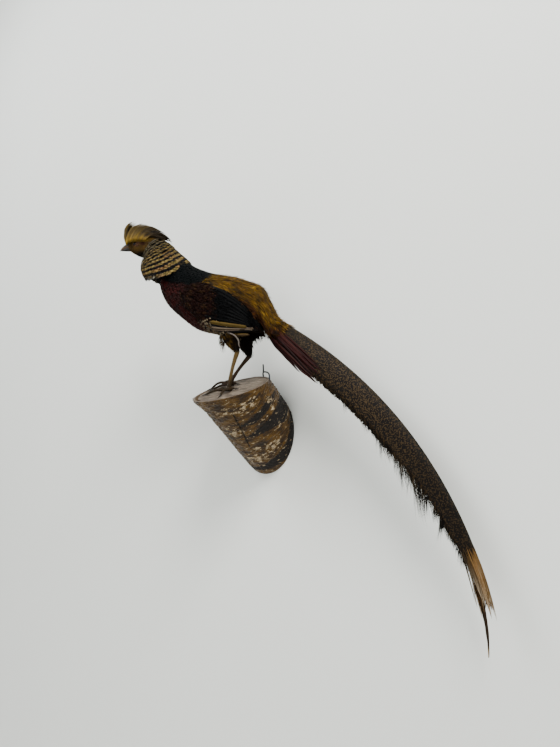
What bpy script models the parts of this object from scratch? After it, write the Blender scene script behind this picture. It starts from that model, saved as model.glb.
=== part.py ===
"""A golden pheasant cock, mounted on a cut birch log that hangs flat against a wall.

Wall frame: the origin is the middle of the log's sawn back, which lies on the wall plane.
+Z is up, +Y goes into the wall, and +X runs along it, towards the tail.
The bird is modelled in its own frame, on an empty that stands between its feet:
+X is forwards, +Y is the bird's left and +Z is up.  All sizes are in metres.
"""

import math

import bmesh
import bpy
import numpy as np
from mathutils import Matrix, Vector

# ---------------------------------------------------------------- driving sizes
GAP = 0.0003  # air left between pieces that touch
GROWTH = 0.0008  # how far a neighbour is swollen before it cuts a piece

LOG_RADIUS = 0.0655  # over the bark
BARK = 0.0035  # thickness of the bark
BARK_LIP = 0.0008  # how far the bark stands above the sawn face
BARK_FLARE = 0.0055  # how far the bark curls out at the front of the face
FLARE_TURN = math.radians(137)  # where round the log it curls out
LOG_PITCH = math.radians(34)  # the log leaves the wall and climbs by this angle
LOG_LENGTH = 0.130  # from the wall to the sawn face, along the log's axis
FACE_LEAN = math.radians(27)  # the sawn face leans forwards by this much

HEADING = math.radians(207)  # the way the bird faces, turned from +X about +Z
TAIL_SWING = math.radians(23)  # the tail turns this far to the bird's left
TAIL_LENGTH = 0.612
TAIL_DROOP = (math.radians(-32), math.radians(-81))  # pitch at the root and at the tip
DROOP_POWER = 1.35
FAR_FEATHER = 1.035  # the longest feather, as a share of TAIL_LENGTH
FAR_SINK = 0.016  # how far it leaves the ridge at the tip

EYE_RADIUS = 0.0046
SHANK_RADIUS = 0.0031
TOE_RADIUS = 0.0024
VANE = 0.0012  # thickness of the long tail feathers
WIRE_RADIUS = 0.0009

BODY_SIDES = 20
LIMB_SIDES = 10
VANE_POINTS = 6  # across each face of a long feather

# ---------------------------------------------------------------- frames
LOG_AXIS = Vector((0, -math.cos(LOG_PITCH), math.sin(LOG_PITCH)))
FACE_NORMAL = Vector((0, -math.sin(FACE_LEAN), math.cos(FACE_LEAN)))
FACE_CENTRE = LOG_AXIS * LOG_LENGTH
BIRD = Matrix.Translation(FACE_CENTRE) @ Matrix.Rotation(HEADING, 4, "Z")
FACE_IN_BIRD = BIRD.to_3x3().inverted() @ FACE_NORMAL

# ---------------------------------------------------------------- outlines
# Each row crosses the bird from its back to its belly:
# back forward, back up, belly forward, belly up, half width, shift to the left.
HEAD_ROWS = (
    (0.170, 0.296, 0.199, 0.261, 0.0175, 0),
    (0.188, 0.3045, 0.207, 0.2625, 0.0165, 0),
    (0.208, 0.3080, 0.215, 0.2650, 0.0155, 0),
    (0.225, 0.3045, 0.223, 0.2690, 0.0125, 0),
    (0.235, 0.2980, 0.2315, 0.2740, 0.0085, 0),
    (0.240, 0.2915, 0.237, 0.2780, 0.0055, 0),
)
NECK_ROWS = (
    (0.122, 0.256, 0.163, 0.207, 0.0265, 0),
    (0.140, 0.268, 0.175, 0.228, 0.0235, 0),
    (0.155, 0.282, 0.187, 0.247, 0.0195, 0),
)
TRUNK_ROWS = (
    (-0.022, 0.205, 0.004, 0.101, 0.044, 0),
    (0.004, 0.2135, 0.034, 0.103, 0.047, 0),
    (0.036, 0.219, 0.076, 0.112, 0.048, 0),
    (0.064, 0.226, 0.111, 0.135, 0.046, 0),
    (0.088, 0.236, 0.140, 0.160, 0.039, 0),
    (0.107, 0.247, 0.156, 0.186, 0.032, 0),
)
RUMP_ROWS = (
    (-0.0960, 0.1245, -0.0860, 0.0840, 0.013, 0.0015),
    (-0.0780, 0.1380, -0.0690, 0.0930, 0.019, 0.0005),
    (-0.0620, 0.1680, -0.0530, 0.1020, 0.029, 0),
    (-0.0460, 0.1940, -0.0280, 0.1030, 0.039, 0),
)
CREST_ROWS = (
    (0.1490, 0.2945, 0.1500, 0.2925, 0.001, 0),
    (0.1570, 0.3050, 0.1580, 0.2960, 0.0065, 0),
    (0.170, 0.3130, 0.168, 0.2975, 0.012, 0),
    (0.190, 0.3210, 0.187, 0.300, 0.016, 0),
    (0.208, 0.3290, 0.203, 0.300, 0.0165, 0),
    (0.226, 0.3300, 0.219, 0.300, 0.0145, 0),
    (0.243, 0.3355, 0.2345, 0.298, 0.010, 0),
    (0.2525, 0.3190, 0.2440, 0.300, 0.004, 0),
)
CAPE_ROWS = (
    (0.104, 0.251, 0.195, 0.231, 0.0435, 0),
    (0.126, 0.268, 0.203, 0.242, 0.040, 0),
    (0.1445, 0.285, 0.203, 0.252, 0.032, 0),
    (0.162, 0.300, 0.201, 0.262, 0.0215, 0),
)
NECK_MIDDLE = np.array((0.150, 0, 0.235))
CAPE_SAG = (0.040, 0.018)  # how much lower the ruff's hem hangs at its left and right sides


# ---------------------------------------------------------------- helpers
def clear_scene():
    for thing in list(bpy.data.objects):
        bpy.data.objects.remove(thing, do_unlink=True)


def collection(name):
    made = bpy.data.collections.new(name)
    bpy.context.scene.collection.children.link(made)
    return made


def finish(name, colour, roughness, metallic=0.0):
    material = bpy.data.materials.new(name)
    material.use_nodes = True
    shader = material.node_tree.nodes["Principled BSDF"]
    shader.inputs["Base Color"].default_value = (*colour, 1)
    shader.inputs["Roughness"].default_value = roughness
    shader.inputs["Metallic"].default_value = metallic
    return material


def through(rows, count):
    """count rows of numbers on a Catmull-Rom curve through the given rows."""
    rows = np.array(rows, float)
    padded = np.vstack([2 * rows[0] - rows[1], rows, 2 * rows[-1] - rows[-2]])
    place = np.linspace(0, len(rows) - 1, count)
    first = np.minimum(place.astype(int), len(rows) - 2)
    f = (place - first)[:, None]
    a, b, c, d = (padded[first + k] for k in range(4))
    bend = (2 * a - 5 * b + 4 * c - d) * f**2 + (3 * b - a - 3 * c + d) * f**3
    return 0.5 * (2 * b + (c - a) * f + bend)


def loft(name, rings, material, frame=None):
    """One closed skin over equal rings of points, with a flat cap on each end."""
    shell = bmesh.new()
    rows = [[shell.verts.new(point) for point in ring] for ring in rings]
    for low, high in zip(rows, rows[1:]):
        for k in range(len(low)):
            after = (k + 1) % len(low)
            shell.faces.new((low[k], low[after], high[after]))
            shell.faces.new((low[k], high[after], high[k]))
    shell.faces.new(rows[0])
    shell.faces.new(rows[-1])
    bmesh.ops.recalc_face_normals(shell, faces=shell.faces)
    mesh = bpy.data.meshes.new(name)
    shell.to_mesh(mesh)
    shell.free()
    mesh.shade_smooth()
    mesh.set_sharp_from_angle(angle=math.radians(60))
    mesh.materials.append(material)
    made = bpy.data.objects.new(name, mesh)
    PHEASANT.objects.link(made)
    made.parent = frame
    return made


def cross_sections(rows, sides=BODY_SIDES, droop=0.06):
    """Egg-shaped rings, one for each row of an outline; droop makes each wider low down."""
    rings = []
    turn = np.linspace(0, 2 * math.pi, sides, endpoint=False)
    for back_x, back_z, belly_x, belly_z, half_width, left in rows:
        back = np.array((back_x, left, back_z))
        belly = np.array((belly_x, left, belly_z))
        across = np.cos(turn) * half_width * (1 - droop * np.sin(turn))
        ring = (back + belly) / 2 + np.outer(np.sin(turn) / 2, back - belly)
        ring[:, 1] += across
        rings.append(ring)
    return rings


def tube(name, path, radii, material, frame=None, sides=LIMB_SIDES, flat=1.0):
    """A tapering tube: round rings square to a path of points; flat squashes it sideways."""
    path = np.array(path, float)
    forward = np.gradient(path, axis=0)
    turn = np.linspace(0, 2 * math.pi, sides, endpoint=False)
    aside = np.array((0.0, 1.0, 0.0))
    rings = []
    for centre, way, radius in zip(path, forward, radii):
        way = way / np.linalg.norm(way)
        aside = aside - way * (aside @ way)
        aside = aside / np.linalg.norm(aside)
        above = np.cross(way, aside)
        ring = np.outer(np.cos(turn) * flat, aside) + np.outer(np.sin(turn), above)
        rings.append(centre + radius * ring)
    return loft(name, rings, material, frame)


def swollen(piece):
    """A hidden copy of a piece's plain form, grown by GROWTH on every side, to cut its neighbours."""
    name = piece.name + "_room"
    if name in bpy.data.objects:
        return bpy.data.objects[name]
    room = piece.copy()
    room.name = name
    room.modifiers.clear()
    CUTTERS.objects.link(room)
    room.hide_render = True
    room.display_type = "WIRE"
    grow = room.modifiers.new("grow", "DISPLACE")
    grow.mid_level = 0
    grow.strength = GROWTH
    return room


def fit_round(piece, *neighbours):
    """Cuts away what a piece would share with its neighbours, and the gap round them."""
    for neighbour in neighbours:
        cut = piece.modifiers.new("clear_of_" + neighbour.name, "BOOLEAN")
        cut.object = swollen(neighbour)
        cut.operation = "DIFFERENCE"
    return piece


def join(piece, *others):
    """Makes pieces that overlap one solid; the others stay behind as hidden guides."""
    for other in others:
        union = piece.modifiers.new("with_" + other.name, "BOOLEAN")
        union.object = hide(other)
        union.operation = "UNION"
    return piece


def hide(guide):
    """Leaves a piece out of the model, as a guide for others."""
    guide.hide_render = True
    guide.display_type = "WIRE"
    PHEASANT.objects.unlink(guide)
    CUTTERS.objects.link(guide)
    return guide


def block(name, size, place):
    """A hidden box for trimming."""
    bpy.ops.mesh.primitive_cube_add(size=1)
    made = bpy.context.object
    made.name = name
    made.data.transform(Matrix.Diagonal((*size, 1)))
    made.matrix_world = place
    made.hide_render = True
    made.display_type = "WIRE"
    for owner in list(made.users_collection):
        owner.objects.unlink(made)
    CUTTERS.objects.link(made)
    return made


def trim(piece, cutter, operation="DIFFERENCE"):
    cut = piece.modifiers.new("trim_" + cutter.name, "BOOLEAN")
    cut.object = cutter
    cut.operation = operation
    return piece


# ---------------------------------------------------------------- the log
def sawn_ring(radius, lift, flare=0.0, sides=40):
    """Where a cylinder of this radius meets the face plane, raised by lift."""
    turn = np.linspace(0, 2 * math.pi, sides, endpoint=False)
    axis, normal = np.array(LOG_AXIS), np.array(FACE_NORMAL)
    aside, above = np.array((1.0, 0, 0)), np.cross((1.0, 0, 0), axis)
    ring = (radius + flare * np.clip(np.cos(turn - FLARE_TURN), 0, 1) ** 5)[:, None] * (
        np.outer(np.cos(turn), aside) + np.outer(np.sin(turn), above))
    on_face = np.array(FACE_CENTRE) + normal * lift
    along = ((on_face - ring) @ normal) / (axis @ normal)
    return ring + np.outer(along, axis)


def wall_ring(radius, off, sides=40):
    """Where the same cylinder meets a plane parallel to the wall."""
    ring = sawn_ring(radius, 0, 0, sides)
    axis = np.array(LOG_AXIS)
    return ring + np.outer((-off - ring[:, 1]) / axis[1], axis)


def make_log(wood, bark):
    core_radius = LOG_RADIUS - BARK - GAP
    core = loft("log_wood", [wall_ring(core_radius, 0), sawn_ring(core_radius, 0)], wood)
    rings = [wall_ring(LOG_RADIUS, 0), sawn_ring(LOG_RADIUS, -0.022), sawn_ring(LOG_RADIUS, BARK_LIP, BARK_FLARE)]
    shell = loft("log_bark", rings, bark)
    inner = LOG_RADIUS - BARK
    hole = loft("bark_hole", [wall_ring(inner, -0.01), sawn_ring(inner, 0.02)], bark)
    trim(shell, hide(hole))
    return core, shell


# ---------------------------------------------------------------- the bird's body
def make_body(stance, finishes):
    """Head, neck, trunk and rump, parted by thin gaps, and the whole figure as a hidden guide."""
    names = ("rump", "trunk", "neck", "head")
    groups = (RUMP_ROWS, TRUNK_ROWS, NECK_ROWS, HEAD_ROWS)
    every = np.vstack(groups)
    per_row = 2
    fine = through(every, (len(every) - 1) * per_row + 1)
    rings = cross_sections(fine)
    figure = hide(loft("figure", rings, finishes["trunk"], stance))
    pieces, start = [], 0
    for name, group in zip(names, groups):
        last = start + len(group) * per_row
        if name == "head":
            last = len(rings) - 1
        part = [np.array(ring) for ring in rings[start : last + 1]]
        if name != "rump":
            part[0] += GAP * unit(part[1].mean(0) - part[0].mean(0))
        pieces.append(loft(name, part, finishes[name], stance))
        start = last
    return figure, *pieces


def unit(vector):
    return vector / np.linalg.norm(vector)


def make_cape(stance, finish_, figure):
    """The barred ruff: a bell of feathers round the neck, open down the throat."""
    rings = cross_sections(through(CAPE_ROWS, 7), droop=-0.16)
    for share, ring in zip(np.linspace(1, 0, len(rings)), rings):
        sag = np.where(ring[:, 1] > 0, *CAPE_SAG)
        ring[:, 2] -= sag * share * (abs(ring[:, 1]) / abs(ring[:, 1]).max()) ** 1.3
    inner = NECK_MIDDLE + 0.35 * (rings[0] - rings[0].mean(0))
    cape = loft("cape", [inner, *rings], finish_, stance)
    slit = block("cape_slit", (0.05, 0.022, 0.10), stance.matrix_world @ Matrix.Translation((0.222, 0, 0.235)))
    fit_round(cape, figure)
    return trim(cape, slit)


def make_crest(stance, finish_, figure, cape):
    crest = loft("crest", cross_sections(through(CREST_ROWS, 13), 12), finish_, stance)
    return fit_round(crest, figure, cape)


def make_bill(stance, finish_, figure):
    upper_line = through(((0.233, 0, 0.2880), (0.2425, 0, 0.2868), (0.2500, 0, 0.2832), (0.2557, 0, 0.2760)), 9)
    upper_radii = through(((0.0052,), (0.0044,), (0.0028,), (0.0005,)), 9)[:, 0]
    upper = tube("bill_upper", upper_line, upper_radii, finish_, stance)
    lower_line = through(((0.232, 0, 0.2795), (0.240, 0, 0.2788), (0.2485, 0, 0.2778)), 6)
    lower_radii = through(((0.0042,), (0.0032,), (0.0008,)), 6)[:, 0]
    lower = tube("bill_lower", lower_line, lower_radii, finish_, stance)
    fit_round(upper, figure)
    fit_round(lower, upper, figure)


def make_eyes(stance, finish_, head):
    for side, name in ((1, "eye_left"), (-1, "eye_right")):
        bpy.ops.mesh.primitive_uv_sphere_add(segments=12, ring_count=8, radius=EYE_RADIUS)
        eye = bpy.context.object
        eye.name = name
        eye.data.materials.append(finish_)
        eye.data.shade_smooth()
        for owner in list(eye.users_collection):
            owner.objects.unlink(eye)
        PHEASANT.objects.link(eye)
        eye.parent = stance
        eye.location = (0.2195, side * 0.0098, 0.2855)
        fit_round(head, eye)


# ---------------------------------------------------------------- wings and legs
WING_LINE = ((0.110, 0.183), (0.084, 0.170), (0.045, 0.151), (0.006, 0.132), (-0.028, 0.115), (-0.053, 0.1005))
FAR_WING_LIFT = (0.010, 0.010)  # the right wing's tip is folded further forwards and up
WING_WIDE = (0.006, 0.024, 0.037, 0.034, 0.021, 0.003)  # half the wing's height at each point
WING_OUT = (0.034, 0.040, 0.0415, 0.0395, 0.0350, 0.0290)  # how far it lies from the middle
WING_THICK = (0.004, 0.010, 0.0125, 0.0115, 0.008, 0.002)


def make_wing(side, name, stance, finish_, figure):
    """A folded wing: a flat blade along the flank, hollowed to fit the body."""
    line = through(WING_LINE, 12)
    if side < 0:
        line += np.outer(np.linspace(0, 1, 12) ** 2, FAR_WING_LIFT)
    sizes = through(tuple(zip(WING_WIDE, WING_OUT, WING_THICK)), 12)
    slope = np.gradient(line, axis=0)
    turn = np.linspace(0, 2 * math.pi, 14, endpoint=False)
    rings = []
    for (x, z), (dx, dz), (high, out, thick) in zip(line, slope, sizes):
        above = unit(np.array((dz, -dx))) * (1 if dx < 0 else -1)
        up = np.sin(turn) * high
        aside = side * (out + np.cos(turn) * thick)
        rings.append(np.stack([x + up * above[0], aside, z + up * above[1]], axis=1))
    wing = loft(name, rings, finish_, stance)
    return fit_round(wing, figure)


# Leg joints: forward, left, up, for the near (left) and far (right) leg.
LEGS = {
    "left": {"hip": (0.014, 0.028, 0.128), "hock": (-0.009, 0.022, 0.064), "sole": (-0.001, 0.018)},
    "right": {"hip": (-0.008, -0.028, 0.128), "hock": (-0.0215, -0.022, 0.067), "sole": (0.006, -0.022)},
}
TOES = {  # spread to the bird's left of straight ahead, length, arch; the last toe is the hind one
    "left": ((-0.10, 0.046, 0.004), (1.25, 0.029, 0.005), (-0.62, 0.034, 0.004), (3.3, 0.008, 0.002)),
    "right": ((-0.04, 0.042, 0.0085), (0.22, 0.036, 0.004), (-0.70, 0.032, 0.006), (2.9, 0.008, 0.002)),
}


def on_face(forward, left, rise):
    """A point this high above the log's sawn face, in the bird's frame."""
    up = -(FACE_IN_BIRD.x * forward + FACE_IN_BIRD.y * left) / FACE_IN_BIRD.z
    return np.array((forward, left, up)) + np.array(FACE_IN_BIRD) * rise


def make_leg(name, joints, stance, finishes, blockers):
    hip, hock = np.array(joints["hip"]), np.array(joints["hock"])
    ankle = on_face(joints["sole"][0], joints["sole"][1], 0.012)
    thigh_path = through((hip, hip * 0.5 + hock * 0.5 + (0.005, 0, 0), hock), 8)
    thigh_radii = through(((0.021,), (0.0165,), (0.0048,)), 8)[:, 0]
    thigh = tube("thigh_" + name, thigh_path, thigh_radii, finishes["thigh"], stance)
    fit_round(thigh, *blockers)
    start = hock + GAP * unit(ankle - hock)
    shank_path = through((start, (start + ankle) / 2 + (0.0015, 0, 0), ankle), 7)
    shank_radii = through(((0.0044,), (SHANK_RADIUS,), (0.0036,)), 7)[:, 0]
    shank = tube("shank_" + name, shank_path, shank_radii, finishes["scale"], stance)
    fit_round(shank, thigh)
    make_foot(name, joints["sole"], ankle, stance, finishes, shank)
    return thigh


def make_foot(name, sole, ankle, stance, finishes, shank):
    """Three toes forwards and one back, arched over the sawn face, with a claw on each."""
    pad_path = [ankle, on_face(sole[0] + 0.002, sole[1], 0.003)]
    foot = tube("foot_" + name, pad_path, (0.0040, 0.0046), finishes["scale"], stance)
    claws = []
    for number, (spread, length, arch) in enumerate(TOES[name]):
        way = np.array((math.cos(spread), math.sin(spread)))
        reach = np.linspace(0, 1, 7)
        heights = 0.0025 + arch * np.sin(math.pi * reach**1.1)
        spots = [on_face(sole[0] + way[0] * length * r, sole[1] + way[1] * length * r, h)
                 for r, h in zip(reach, heights)]
        radii = TOE_RADIUS * (1.25 - 0.5 * reach)
        toe = tube(f"toe_{name}_{number}", spots, radii, finishes["scale"], stance, sides=6)
        join(foot, toe)
        tip = np.linspace(1.0, 1.1 + 0.006 / length, 5)
        drop = 0.0025 - 0.0012 * (tip - 1) / (tip[-1] - 1)
        claw_path = [on_face(sole[0] + way[0] * length * r, sole[1] + way[1] * length * r, h)
                     for r, h in zip(tip, drop)]
        claw = tube(f"claw_{name}_{number + 1}", claw_path, (0.0016, 0.0014, 0.0011, 0.0008, 0.0003),
                    finishes["claw"], stance, sides=6)
        claws.append(fit_round(claw, toe))
    level = block(f"sole_{name}", (0.2, 0.2, 0.02), face_frame(GAP - 0.01))
    for claw in claws:
        trim(claw, level)
    trim(foot, level)
    fit_round(foot, shank)
    return foot


def face_frame(lift):
    """The place and tilt of the log's sawn face, moved along its normal."""
    return Matrix.Translation(FACE_CENTRE + FACE_NORMAL * lift) @ Matrix.Rotation(FACE_LEAN, 4, "X")


# ---------------------------------------------------------------- the tail
TAIL_START = np.array((-0.0911, 0.0010, 0.1253))
TAIL_SHAPE = (  # place along the tail, depth of the side, half width of the roof
    (0.00, 0.031, 0.012),
    (0.03, 0.034, 0.014),
    (0.16, 0.042, 0.016),
    (0.26, 0.043, 0.016),
    (0.46, 0.039, 0.015),
    (0.56, 0.035, 0.013),
    (0.64, 0.028, 0.011),
    (0.74, 0.022, 0.009),
    (0.82, 0.018, 0.007),
    (0.90, 0.013, 0.004),
    (1.00, 0.004, 0.002),
)


def tail_line(shares):
    """Points and directions at these shares of the tail's ridge, whose pitch falls from root to tip."""
    fine = np.linspace(0, FAR_FEATHER, 400)
    pitch = TAIL_DROOP[0] + (TAIL_DROOP[1] - TAIL_DROOP[0]) * fine**DROOP_POWER
    swing = math.pi - TAIL_SWING
    ways = np.stack([np.cos(pitch) * math.cos(swing), np.cos(pitch) * math.sin(swing), np.sin(pitch)], axis=1)
    places = TAIL_START + np.cumsum(ways, axis=0) * TAIL_LENGTH * fine[1]
    line, way = (
        np.stack([np.interp(shares, fine, column) for column in table.T], axis=1) for table in (places, ways)
    )
    return line, way


def vane(name, side, stance, finish_, reach, taper, turn=(2, 100), rise=0.0, grow=0.0, thick=VANE, count=16):
    """A long vaulted feather: a thin strip that arches out and down from the ridge.

    reach is where it starts and ends and taper where it narrows, as shares of the ridge; turn is
    the stretch of the arch that it covers, in degrees; rise moves its upper edge down towards
    the tip, and grow sets it outside or inside its neighbours.
    """
    shape = np.array(TAIL_SHAPE)
    shares = np.linspace(*reach, count)
    line, way = tail_line(shares)
    rings = []
    for share, place, ahead in zip(shares, line, way):
        depth, half = (np.interp(share, shape[:, 0], shape[:, c]) for c in (1, 2))
        breadth = np.interp(share, taper, (1, 0.12))
        aside = unit(np.array((-ahead[1], ahead[0], 0))) * -side
        above = unit(np.cross(ahead, np.cross((0, 0, 1.0), ahead)))
        start = turn[0] + rise * (share - reach[0]) / (reach[1] - reach[0])
        angles = np.radians(np.linspace(start, start + (turn[1] - start) * breadth, VANE_POINTS))
        outer, inner = (
            np.outer((half + g) * np.sin(angles) + GAP, aside) - np.outer((depth + g) * (1 - np.cos(angles)) - g, above)
            for g in (grow, grow - thick)
        )
        sink = FAR_SINK * share**3 if side < 0 else 0
        rings.append(place - above * sink + np.vstack([outer, inner[::-1]]))
    return loft(name, rings, finish_, stance)


def make_tail(stance, finishes, figure):
    for side, name in ((1, "left"), (-1, "right")):
        end, taper = (0.94, (0.80, 0.94)) if side > 0 else (FAR_FEATHER, (0.76, 0.93))
        fit_round(vane("tail_central_" + name, side, stance, finishes["tail"], (0, end), taper), figure)
        fit_round(vane("tail_outer_" + name, side, stance, finishes["tail"], (0, 0.66), (0.54, 0.66),
                       turn=(4, 104), grow=-0.0022, thick=0.0014), figure)
        fit_round(vane("plume_" + name, side, stance, finishes["scarlet"], (0, 0.22), (0.14, 0.22),
                       turn=(48, 106), rise=40, grow=0.0020, thick=0.0014, count=9), figure)


# ---------------------------------------------------------------- the hanger
HANGER_LOOP = (
    (0.0175, -0.0360, 0.0950),
    (0.0180, -0.0440, 0.1050),
    (0.0235, -0.0520, 0.1115),
    (0.0350, -0.0580, 0.1105),
    (0.0470, -0.0640, 0.1050),
    (0.0530, -0.0685, 0.0930),
    (0.0565, -0.0700, 0.0800),
)
HANGER_END = ((0.0235, -0.0520, 0.1115), (0.0255, -0.0550, 0.1190), (0.0260, -0.0570, 0.1265))


def make_hanger(finish_, shell):
    """The bent wire at the back of the log's top, by which it hangs."""
    loop = through(HANGER_LOOP, 15)
    wire = tube("hanger_wire", loop, [WIRE_RADIUS] * len(loop), finish_, sides=6)
    end = tube("hanger_wire_end", HANGER_END, [WIRE_RADIUS] * 3, finish_, sides=6)
    return fit_round(join(wire, end), shell)


# ---------------------------------------------------------------- all together
clear_scene()
PHEASANT = collection("golden_pheasant_mount")
CUTTERS = collection("cutters")

FINISHES = {
    "wood": finish("sawn_wood", (0.47, 0.38, 0.31), 0.8),
    "bark": finish("birch_bark", (0.30, 0.22, 0.11), 0.7),
    "head": finish("head_feathers", (0.34, 0.26, 0.12), 0.7),
    "neck": finish("neck_feathers", (0.40, 0.22, 0.10), 0.7),
    "trunk": finish("scarlet_breast", (0.22, 0.03, 0.02), 0.6),
    "rump": finish("golden_rump", (0.50, 0.32, 0.06), 0.5),
    "cape": finish("barred_cape", (0.52, 0.40, 0.20), 0.6),
    "crest": finish("golden_crest", (0.48, 0.36, 0.10), 0.4),
    "wing": finish("wing_feathers", (0.13, 0.09, 0.06), 0.6),
    "thigh": finish("thigh_feathers", (0.16, 0.11, 0.05), 0.7),
    "scale": finish("leg_scales", (0.42, 0.31, 0.15), 0.5),
    "claw": finish("claw_horn", (0.08, 0.06, 0.05), 0.4),
    "bill": finish("bill_horn", (0.38, 0.33, 0.20), 0.4),
    "eye": finish("glass_eye", (0.10, 0.04, 0.02), 0.1),
    "tail": finish("tail_feathers", (0.13, 0.09, 0.06), 0.6),
    "scarlet": finish("scarlet_plume", (0.26, 0.04, 0.03), 0.6),
    "wire": finish("hanger_steel", (0.10, 0.11, 0.14), 0.4, 0.9),
}

stance = bpy.data.objects.new("stance", None)
CUTTERS.objects.link(stance)
stance.matrix_world = BIRD
bpy.context.view_layer.update()

core, shell = make_log(FINISHES["wood"], FINISHES["bark"])
make_hanger(FINISHES["wire"], shell)
figure, rump, trunk, neck, head = make_body(stance, FINISHES)
make_eyes(stance, FINISHES["eye"], head)
cape = make_cape(stance, FINISHES["cape"], figure)
make_crest(stance, FINISHES["crest"], figure, cape)
make_bill(stance, FINISHES["bill"], figure)
wings = [make_wing(side, name, stance, FINISHES["wing"], figure)
         for side, name in ((1, "wing_left"), (-1, "wing_right"))]
for name, joints in LEGS.items():
    make_leg(name, joints, stance, FINISHES, (figure, *wings))
make_tail(stance, FINISHES, figure)
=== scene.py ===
# %% [markdown]
# # A golden pheasant cock on a cut birch log
#
# This lesson dresses a plain model of a mounted bird. The plain solids give the outline; here one skin
# is drawn over the flesh, thousands of small feathers are laid on it, and the log gets its bark.
# Everything is in metres, in the wall's frame: +Z is up, +Y goes into the wall.

import math
from functools import partial

import bpy
import numpy as np
from mathutils import Matrix
from numpy.random import default_rng


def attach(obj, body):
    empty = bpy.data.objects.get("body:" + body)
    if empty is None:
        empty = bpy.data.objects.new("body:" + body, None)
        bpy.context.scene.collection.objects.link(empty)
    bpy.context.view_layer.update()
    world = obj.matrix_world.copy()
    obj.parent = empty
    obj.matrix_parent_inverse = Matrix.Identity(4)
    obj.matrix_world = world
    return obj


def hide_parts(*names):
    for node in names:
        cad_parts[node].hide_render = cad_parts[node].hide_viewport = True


TURN = 2 * math.pi
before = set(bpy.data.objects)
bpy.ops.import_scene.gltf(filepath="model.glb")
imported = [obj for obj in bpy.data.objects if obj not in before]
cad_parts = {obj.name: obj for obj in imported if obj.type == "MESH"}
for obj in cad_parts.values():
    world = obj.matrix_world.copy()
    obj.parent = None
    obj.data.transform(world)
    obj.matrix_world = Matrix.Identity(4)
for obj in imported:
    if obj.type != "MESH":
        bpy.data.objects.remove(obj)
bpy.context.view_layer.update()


# %% Tables of lengths are written in millimetres
def mm(rows):
    """Rows of millimetres as metres."""
    return np.array(rows) / 1000


print("one row:", mm((10, 2.5)))


# %% [markdown]
# ## Two frames
#
# The log leans out of the wall and its sawn face slants towards the room. The bird stands on that face
# and is easier to describe in a frame of its own: forwards, to its left, and up. One small function
# carries points from the bird's frame to the wall's, so that every finished mesh holds its own place.

# %% The log's axis, its sawn face and the bird's frame
LOG_PITCH, FACE_LEAN, HEADING = math.radians(34), math.radians(27), math.radians(207)
LOG_LENGTH = 0.13
LOG_AXIS = np.array((0, -math.cos(LOG_PITCH), math.sin(LOG_PITCH)))
FACE_NORMAL = np.array((0, -math.sin(FACE_LEAN), math.cos(FACE_LEAN)))
FACE_CENTRE = LOG_AXIS * LOG_LENGTH
BIRD_AXES = np.array((
    (math.cos(HEADING), math.sin(HEADING), 0),
    (-math.sin(HEADING), math.cos(HEADING), 0),
    (0, 0, 1),
))
FACE_IN_BIRD = BIRD_AXES @ FACE_NORMAL


def to_wall(points):
    """Points of the bird's frame in the wall's frame: the face's centre plus each share of the axes."""
    return FACE_CENTRE + np.asarray(points, float) @ BIRD_AXES


print("the bird faces", np.round(BIRD_AXES[0], 3), "and stands at", np.round(FACE_CENTRE, 4))

# %% [markdown]
# ## Smooth forms from a few rows of numbers
#
# A bird's body is an egg that becomes a neck and a head. A table of cross-sections from rump to bill
# says where the back and the belly are and how wide it is there. A Catmull-Rom curve through the rows
# makes them one smooth surface, which can be asked for a point at any place along and round it.

# %% Curves through rows, unit vectors and soft steps
def crossed(first, second):
    """Every value of the first list with every value of the second, as two grids."""
    return np.meshgrid(first, second, indexing="ij")


def through(rows, place):
    """Catmull-Rom: a cubic in the fraction between two rows, shaped by the rows before and after."""
    rows = np.array(rows, float)
    padded = np.vstack([2 * rows[0] - rows[1], rows, 2 * rows[-1] - rows[-2]])
    place = np.clip(place, 0, 1) * (len(rows) - 1)
    first = np.minimum(place.astype(int), len(rows) - 2)
    f = (place - first)[..., None]
    a, b, c, d = (padded[first + k] for k in range(4))
    square, cube = 2 * a - 5 * b + 4 * c - d, 3 * b - a - 3 * c + d
    return 0.5 * (2 * b + (c - a) * f + square * f**2 + cube * f**3)


def unit(vectors):
    """Each vector divided by its own length."""
    return vectors / np.maximum(np.linalg.norm(vectors, axis=-1, keepdims=True), 1e-12)


def soft(low, high, value):
    """A smooth step: 0 below low, 1 above high, and a rounded ramp between."""
    t = np.clip((np.asarray(value, float) - low) / (high - low), 0, 1)
    return t * t * (3 - 2 * t)


def egg(rows, along, turn, droop=0.06):
    """A ring's point: half-way from belly to back, plus a sine along that line and a cosine to the left."""
    v = through(rows, along)
    back = np.stack([v[..., 0], v[..., 5], v[..., 1]], -1)
    belly = np.stack([v[..., 2], v[..., 5], v[..., 3]], -1)
    point = (back + belly) / 2 + np.sin(turn)[..., None] / 2 * (back - belly)
    point[..., 1] += np.cos(turn) * v[..., 4] * (1 - droop * np.sin(turn))
    return point


# %% The body, from rump to bill: back forward, back up, belly forward, belly up, half width, left
BODY_ROWS = mm((
    (-96, 124.5, -86, 84, 13, 1.5), (-78, 138, -69, 93, 19, 0.5), (-62, 168, -44, 115, 29, 0),
    (-46, 194, -28, 103, 39, 0), (-22, 205, 4, 101, 44, 0), (4, 213.5, 34, 103, 47, 0),
    (36, 219, 76, 112, 48, 0), (64, 226, 111, 135, 46, 0), (88, 236, 140, 160, 39, 0),
    (107, 247, 156, 186, 32, 0), (122, 256, 163, 207, 26.5, 0), (140, 268, 175, 228, 23.5, 0),
    (155, 282, 187, 247, 19.5, 0), (170, 296, 199, 261, 17.5, 0), (188, 304.5, 207, 262.5, 16.5, 0),
    (208, 308, 215, 265, 15.5, 0), (225, 304.5, 223, 269, 12.5, 0), (235, 298, 231.5, 274, 8.5, 0),
    (240, 291.5, 237, 278, 5.5, 0),
))


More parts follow.
